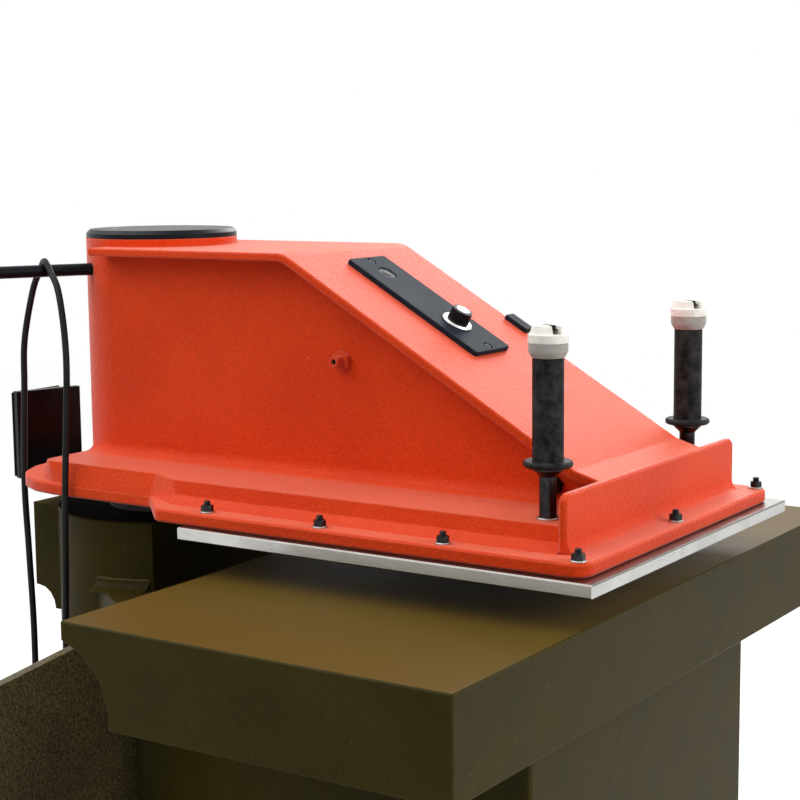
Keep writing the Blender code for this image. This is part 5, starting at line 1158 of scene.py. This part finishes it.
def makeMotorFittings():
    look = motor
    x, height = look["axis"]
    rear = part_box("electric_motor")[1][1]
    wide, deep, tall = look["boxSize"]
    top = height + look["radius"]
    shape = softened(block(
        (-wide / 2, -deep / 2, -look["boxFoot"]), (wide / 2, deep / 2, tall)), look["boxRound"])
    place = upright(x, look["boxMiddle"], top)
    finishPiece("terminalBox", shape, greyEnamel, "base", place)
    lidWide, lidDeep = wide / 2 + look["lidOverhang"], deep / 2 + look["lidOverhang"]
    lidTop = tall + look["lidRise"]
    lid = softened(block((-lidWide, -lidDeep, tall), (lidWide, lidDeep, lidTop)), 0.0015)
    finishPiece("terminalBoxLid", lid, greyEnamel, "base", place)
    places = [
        place @ Matrix.Translation((i * wide * 0.40, j * deep * 0.42, lidTop))
        for i in (-1, 1) for j in (-1, 1)]
    screws = copies(panScrew(look["boxScrewRadius"], look["boxScrewRadius"] * 0.5), places)
    finishPiece("terminalBoxScrews", screws, zincPlate, "base")
    finishPiece("terminalBoxGland", glandShape(*look["gland"]), blackNylon, "base",
                place @ Matrix.Translation((-wide / 2, 0, tall / 2))
                @ Matrix.Rotation(math.radians(-90), 4, "Y"))
    widest, wire = look["guardRings"][-1], look["wireRadius"]
    cover = disc(widest * 1.03, look["coverRise"], 40)
    fan = facing((x, rear, height), (0, 1, 0))
    finishPiece("fanShade", cover, blackOxide, "base", fan)
    guard = bmesh.new()
    for radius in look["guardRings"]:
        copies(ringTube(radius, wire), [Matrix.Translation((0, 0, wire * 1.5))], guard)
    for k in range(4):
        turn = math.pi * k / 4
        reach = Vector((math.cos(turn), math.sin(turn), 0)) * widest
        lift = Vector((0, 0, wire * 2.4))
        tube([lift - reach, lift + reach], wire, 8, guard)
    finishPiece("fanGuard", guard, zincPlate, "base", fan)
    shape = copies(ringTube(look["eyeRadius"], look["eyeWire"], 28), [
        Matrix.Rotation(math.radians(90), 4, "X")
        @ Matrix.Translation((0, look["eyeRadius"] + look["eyeRise"], 0))])
    lathe(look["eyeFoot"], 24, shape)
    finishPiece("motorLiftingEye", shape, zincPlate, "base", upright(x, look["eyePlace"], top))
    print("motor fittings made")


makeMotorFittings()

hydraulics = {
    "pumpScrewCircle": 0.0340,
    "pumpScrewRadius": 0.0050,
    "blockTop": 0.3806,
    "valveScrews": (0.0310, 0.0500),
    "valveScrewRadius": 0.0045,
    "hoseStart": (-0.2747, 0.0240, 0.3506),
    "hoseEnd": (0, 0.0803, 0.1500),
    "hoseRadius": 0.0080,
    "pipeStart": (-0.2547, 0.1830, 0.0423),
    "pipeEnd": (0.3047, -0.0847, 0.1200),
    "pipeRadius": 0.0110,
    "plugSize": (0.0270, 0.0280, 0.0200),
    "plugPlace": (0.0180, 0.0280),  # from the block's middle and above its top
}


def makeHydraulicFittings():
    look = hydraulics
    x, height = motor["axis"]
    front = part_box("gear_pump")[0][1]
    radius, circle = look["pumpScrewRadius"], look["pumpScrewCircle"]
    screw = socketScrew(radius, radius, radius * 0.5)
    places = [
        facing((x + circle * math.cos(k * math.pi / 4), front,
                height + circle * math.sin(k * math.pi / 4)), (0, -1, 0)) for k in (1, 3, 5, 7)]
    finishPiece("pumpScrews", copies(screw, places), blackOxide, "base")
    middle = middleOf("solenoid_valve")
    wide, long = look["valveScrews"]
    radius = look["valveScrewRadius"]
    screw = socketScrew(radius, radius, radius * 0.5)
    places = [
        upright(middle[0] + i * wide, middle[1] + j * long, look["blockTop"])
        for i in (-1, 1) for j in (-1, 1)]
    finishPiece("valveScrews", copies(screw, places), blackOxide, "base")
    wide, high, deep = look["plugSize"]
    out, rise = look["plugPlace"]
    plug = softened(block((-wide / 2, -high / 2, 0), (wide / 2, high / 2, deep)), 0.0025)
    finishPiece("coilPlug", plug, blackNylon, "base",
                facing((middle[0] + out, middle[1], look["blockTop"] + rise), (1, 0, 0)))
    for name, spot, direction, radius, spin in (
            ("hoseEndValve", look["hoseStart"], (1, 0, 0), look["hoseRadius"], 0.2),
            ("hoseEndCylinder", look["hoseEnd"], (0, 1, 0), look["hoseRadius"], 0.5),
            ("pipeNutTank", look["pipeStart"], (1, 0, 0), look["pipeRadius"], 0.1),
            ("pipeNutPump", look["pipeEnd"], (-1, 0, 0), look["pipeRadius"], 0.4)):
        nutHeight = radius * 1.3
        shape = hexNut(radius * 2.6, nutHeight)
        top = nutHeight * 2.3
        rows = [(radius * 1.02, top), (radius * 1.18, top - radius * 0.1)]
        rows += [(radius * 1.18, nutHeight * 1.8), (radius * 1.10, nutHeight * 1.7),
                 (radius * 1.18, nutHeight * 1.6), (radius * 1.18, nutHeight), (0, nutHeight)]
        lathe(rows, 28, shape)
        finishPiece(name, shape, zincPlate, "base", facing(spot, direction, spin))
    print("hydraulic fittings made")


makeHydraulicFittings()


# Base plate: anchor bolts in its four holes, and the weld beads round what stands on it

anchors = {
    "across": 0.0190,
    "headHeight": 0.0080,
    "washerRadius": 0.0098,
    "washerThickness": 0.0016,
    "places": ((-0.443, 0.300), (0.443, 0.300), (-0.443, -0.695), (0.443, -0.695)),
    "threadRadius": 0.0060,
    "threadRise": 0.0040,
    "threadPitch": 0.00175,
    "threadDepth": 0.0006,
}
welds = {
    "radius": 0.0042,
    "step": 0.0032,  # from ripple to ripple
    "ripple": 0.16,
    "runs": (
        ((-0.272, -0.720), (0.272, -0.720)),
        ((-0.484, -0.150), (-0.300, -0.150)),
        ((0.300, -0.150), (0.484, -0.150)),
    ),
}


def makeAnchorsAndWelds():
    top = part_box("base_plate")[1][2]
    bolt = hexBolt(
        anchors["across"], anchors["headHeight"], anchors["washerRadius"],
        anchors["washerThickness"])
    head = anchors["washerThickness"] + anchors["headHeight"]
    thread = threadedEnd(
        anchors["threadRadius"], head - 0.001, head + anchors["threadRise"],
        anchors["threadPitch"], anchors["threadDepth"])
    lathe(thread, 16, bolt)
    places = [upright(x, y, top, math.pi / 6) for x, y in anchors["places"]]
    finishPiece("anchorBolts", copies(bolt, places), zincPlate, "base")
    shape = bmesh.new()
    for start, end in welds["runs"]:
        start, end = Vector((*start, top)), Vector((*end, top))
        count = int((end - start).length / welds["step"])
        tube([start.lerp(end, k / count) for k in range(count + 1)],
             welds["radius"], 8, shape, welds["ripple"])
    finishPiece("weldBeads", shape, olivePlate, "base", crease=60)
    print("anchors and welds made")


makeAnchorsAndWelds()


# CAD nodes keep their shape and get a finish. Their facets are shaded as the round faces they are

finishes = {
    orangeEnamel: ("arm_casting", "hex_fitting_near", "hex_fitting_far"),
    tableEnamel: ("cutting_table",),
    oliveEnamel: ("column_housing", "pedestal", "base_plate"),
    olivePlate: ("wing_plate_near", "wing_plate_far", "box_bracket"),
    oliveSheet: ("rear_cabinet", "rear_door"),
    groundSteel: ("strike_plate",),
    hardChrome: ("pillar", "piston_rod"),
    bearingBronze: ("column_bush", "hub_bush"),
    blackOxide: (
        "thrust_bearing", "retaining_nut", "handle_rod_near", "handle_rod_far", "door_handle"),
    castAluminium: ("gear_pump", "solenoid_valve"),
    blackEnamel: ("column_cap", "cable_bar"),
    greyEnamel: ("oil_tank", "electric_motor", "hydraulic_cylinder"),
    zincPlate: ("suction_pipe",),
    hoseRubber: ("pressure_hose", "wiper_ring"),
    panelPhenolic: ("control_panel", "edge_clip", "switch_plate"),
    knobPhenolic: ("control_knob", "switch_knob"),
    satinAluminium: ("knob_skirt",),
    boxAbs: ("electric_box",),
    boxPolycarbonate: ("junction_box",),
    blackNylon: ("gland_front", "gland_rear", "thumb_button_near", "thumb_button_far"),
    guardNylon: ("button_guard_near", "button_guard_far"),
    gripNitrile: ("hand_grip_near", "hand_grip_far"),
    ringAbs: ("grip_ring_near", "grip_ring_far"),
}


dressing = {"weldGap": 0.00001, "sharpFrom": math.radians(34), "weight": 100}


def dressNodes():
    for material, names in finishes.items():
        for name in names:
            node = nodes[name]
            node.data.materials.clear()
            node.data.materials.append(material)
            normals = node.data.attributes.get("custom_normal")
            if normals is not None:
                node.data.attributes.remove(normals)
            node.data.shade_smooth()
            weld = node.modifiers.new("weld", "WELD")
            weld.merge_threshold = dressing["weldGap"]
            split = node.modifiers.new("split", "EDGE_SPLIT")
            split.split_angle = dressing["sharpFrom"]
            even = node.modifiers.new("even", "WEIGHTED_NORMAL")
            even.weight = dressing["weight"]
            even.keep_sharp = True
    print("CAD nodes dressed")


dressNodes()


# Studio: a pale floor, a pale room that lights the front and the near side most, and three
# soft boxes

studio = {
    "floorSize": 14,
    "floorTone": "#B4B4B2",
    "floorGlow": 0.70,
    # how strongly the room lights the object from each side
    "near": 0.97,
    "far": 0.85,
    "front": 1.34,
    "rear": 0.48,
    "above": 0.42,
    "below": 0.10,
    # the walls are darker near the floor, up to this height of the view's direction
    "skirting": 0.25,
    "skirtingTop": 0.45,
}
lamps = (
    # name, place, what it is aimed at, width, depth and power in watts
    ("farBox", (2.60, 0.10, 2.75), (0, -0.35, 1.05), 2.0, 1.8, 52),
    ("topBox", (-1.00, 1.00, 3.30), (-0.20, -0.35, 1.00), 3.0, 3.0, 73),
    ("frontBox", (0.50, -3.60, 2.30), (0, -0.40, 0.95), 1.6, 1.2, 54),
)


def makeFloor():
    half = studio["floorSize"] / 2
    shape = bmesh.new()
    shape.faces.new([shape.verts.new((x, y, 0)) for x, y in (
        (-half, -half), (half, -half), (half, half), (-half, half))])
    mesh = bpy.data.meshes.new("floor")
    shape.to_mesh(mesh)
    shape.free()
    floor = addObject("floor", mesh)
    made = bpy.data.materials.new("paleFloorPaint")
    made.use_nodes = True
    tree = made.node_tree
    tree.nodes.clear()
    rays = addNode(tree, "LightPath")
    seen = addNode(
        tree, "Math", {"operation": "MAXIMUM"},
        {0: rays.outputs["Is Camera Ray"], 1: rays.outputs["Is Glossy Ray"]})
    glow = addNode(tree, "Math", {"operation": "MULTIPLY", 1: studio["floorGlow"]}, {0: seen})
    shader = addNode(
        tree, "BsdfPrincipled",
        {"Base Color": shade(studio["floorTone"]), "Roughness": 0.9,
         "Specular IOR Level": 0.0, "Emission Color": (1, 1, 1, 1)},
        {"Emission Strength": glow})
    addNode(tree, "OutputMaterial", None, {"Surface": shader})
    mesh.materials.append(made)


def makeRoom():
    world = bpy.data.worlds.new("paleStudio")
    bpy.context.scene.world = world
    world.use_nodes = True
    tree = world.node_tree
    tree.nodes.clear()
    # each direction takes its light from the three sides that it looks at
    look = addNode(tree, "TexCoord").outputs["Generated"]
    ahead, back = [
        addNode(tree, "VectorMath", {"operation": kind, 1: (0, 0, 0)}, {0: look})
        for kind in ("MAXIMUM", "MINIMUM")]
    shares = []
    for part, sides in (
            (ahead, ("far", "rear", "above")), (back, ("near", "front", "below"))):
        squared = addNode(
            tree, "VectorMath", {"operation": "MULTIPLY"}, {0: part, 1: part})
        strengths = tuple(studio[side] for side in sides)
        shares.append(addNode(
            tree, "VectorMath", {"operation": "DOT_PRODUCT", 1: strengths},
            {0: squared}))
    strength = addNode(tree, "Math", {"operation": "ADD"}, {0: shares[0], 1: shares[1]})
    height = addNode(tree, "SeparateXYZ", None, {0: look}).outputs[2]
    skirting = addNode(
        tree, "MapRange",
        {"interpolation_type": "SMOOTHSTEP", "From Max": studio["skirtingTop"],
         "To Min": studio["skirting"]},
        {"Value": height})
    dimmed = addNode(tree, "Math", {"operation": "MULTIPLY"}, {0: strength, 1: skirting})
    paper = shade("#FFFFFF")
    soft = addNode(tree, "Background", {"Color": paper}, {"Strength": dimmed})
    white = addNode(tree, "Background", {"Color": paper, "Strength": 1.0})
    rays = addNode(tree, "LightPath")
    direct = addNode(
        tree, "Math", {"operation": "MAXIMUM"},
        {0: rays.outputs["Is Camera Ray"], 1: rays.outputs["Is Glossy Ray"]})
    seen = addNode(
        tree, "Math", {"operation": "MAXIMUM"},
        {0: direct, 1: rays.outputs["Is Transmission Ray"]})
    mixed = addNode(tree, "MixShader", None, {0: seen, 1: soft, 2: white})
    addNode(tree, "OutputWorld", None, {"Surface": mixed})


def makeLamps():
    for name, place, target, width, depth, power in lamps:
        data = bpy.data.lights.new(name, "AREA")
        data.shape, data.size, data.size_y, data.energy = "RECTANGLE", width, depth, power
        lamp = addObject(name, data)
        lamp.location = place
        lamp.rotation_euler = (Vector(target) - Vector(place)).to_track_quat("-Z", "Y").to_euler()


makeFloor()
makeRoom()
makeLamps()
bpy.context.scene.view_settings.view_transform = "Standard"
print("studio made")
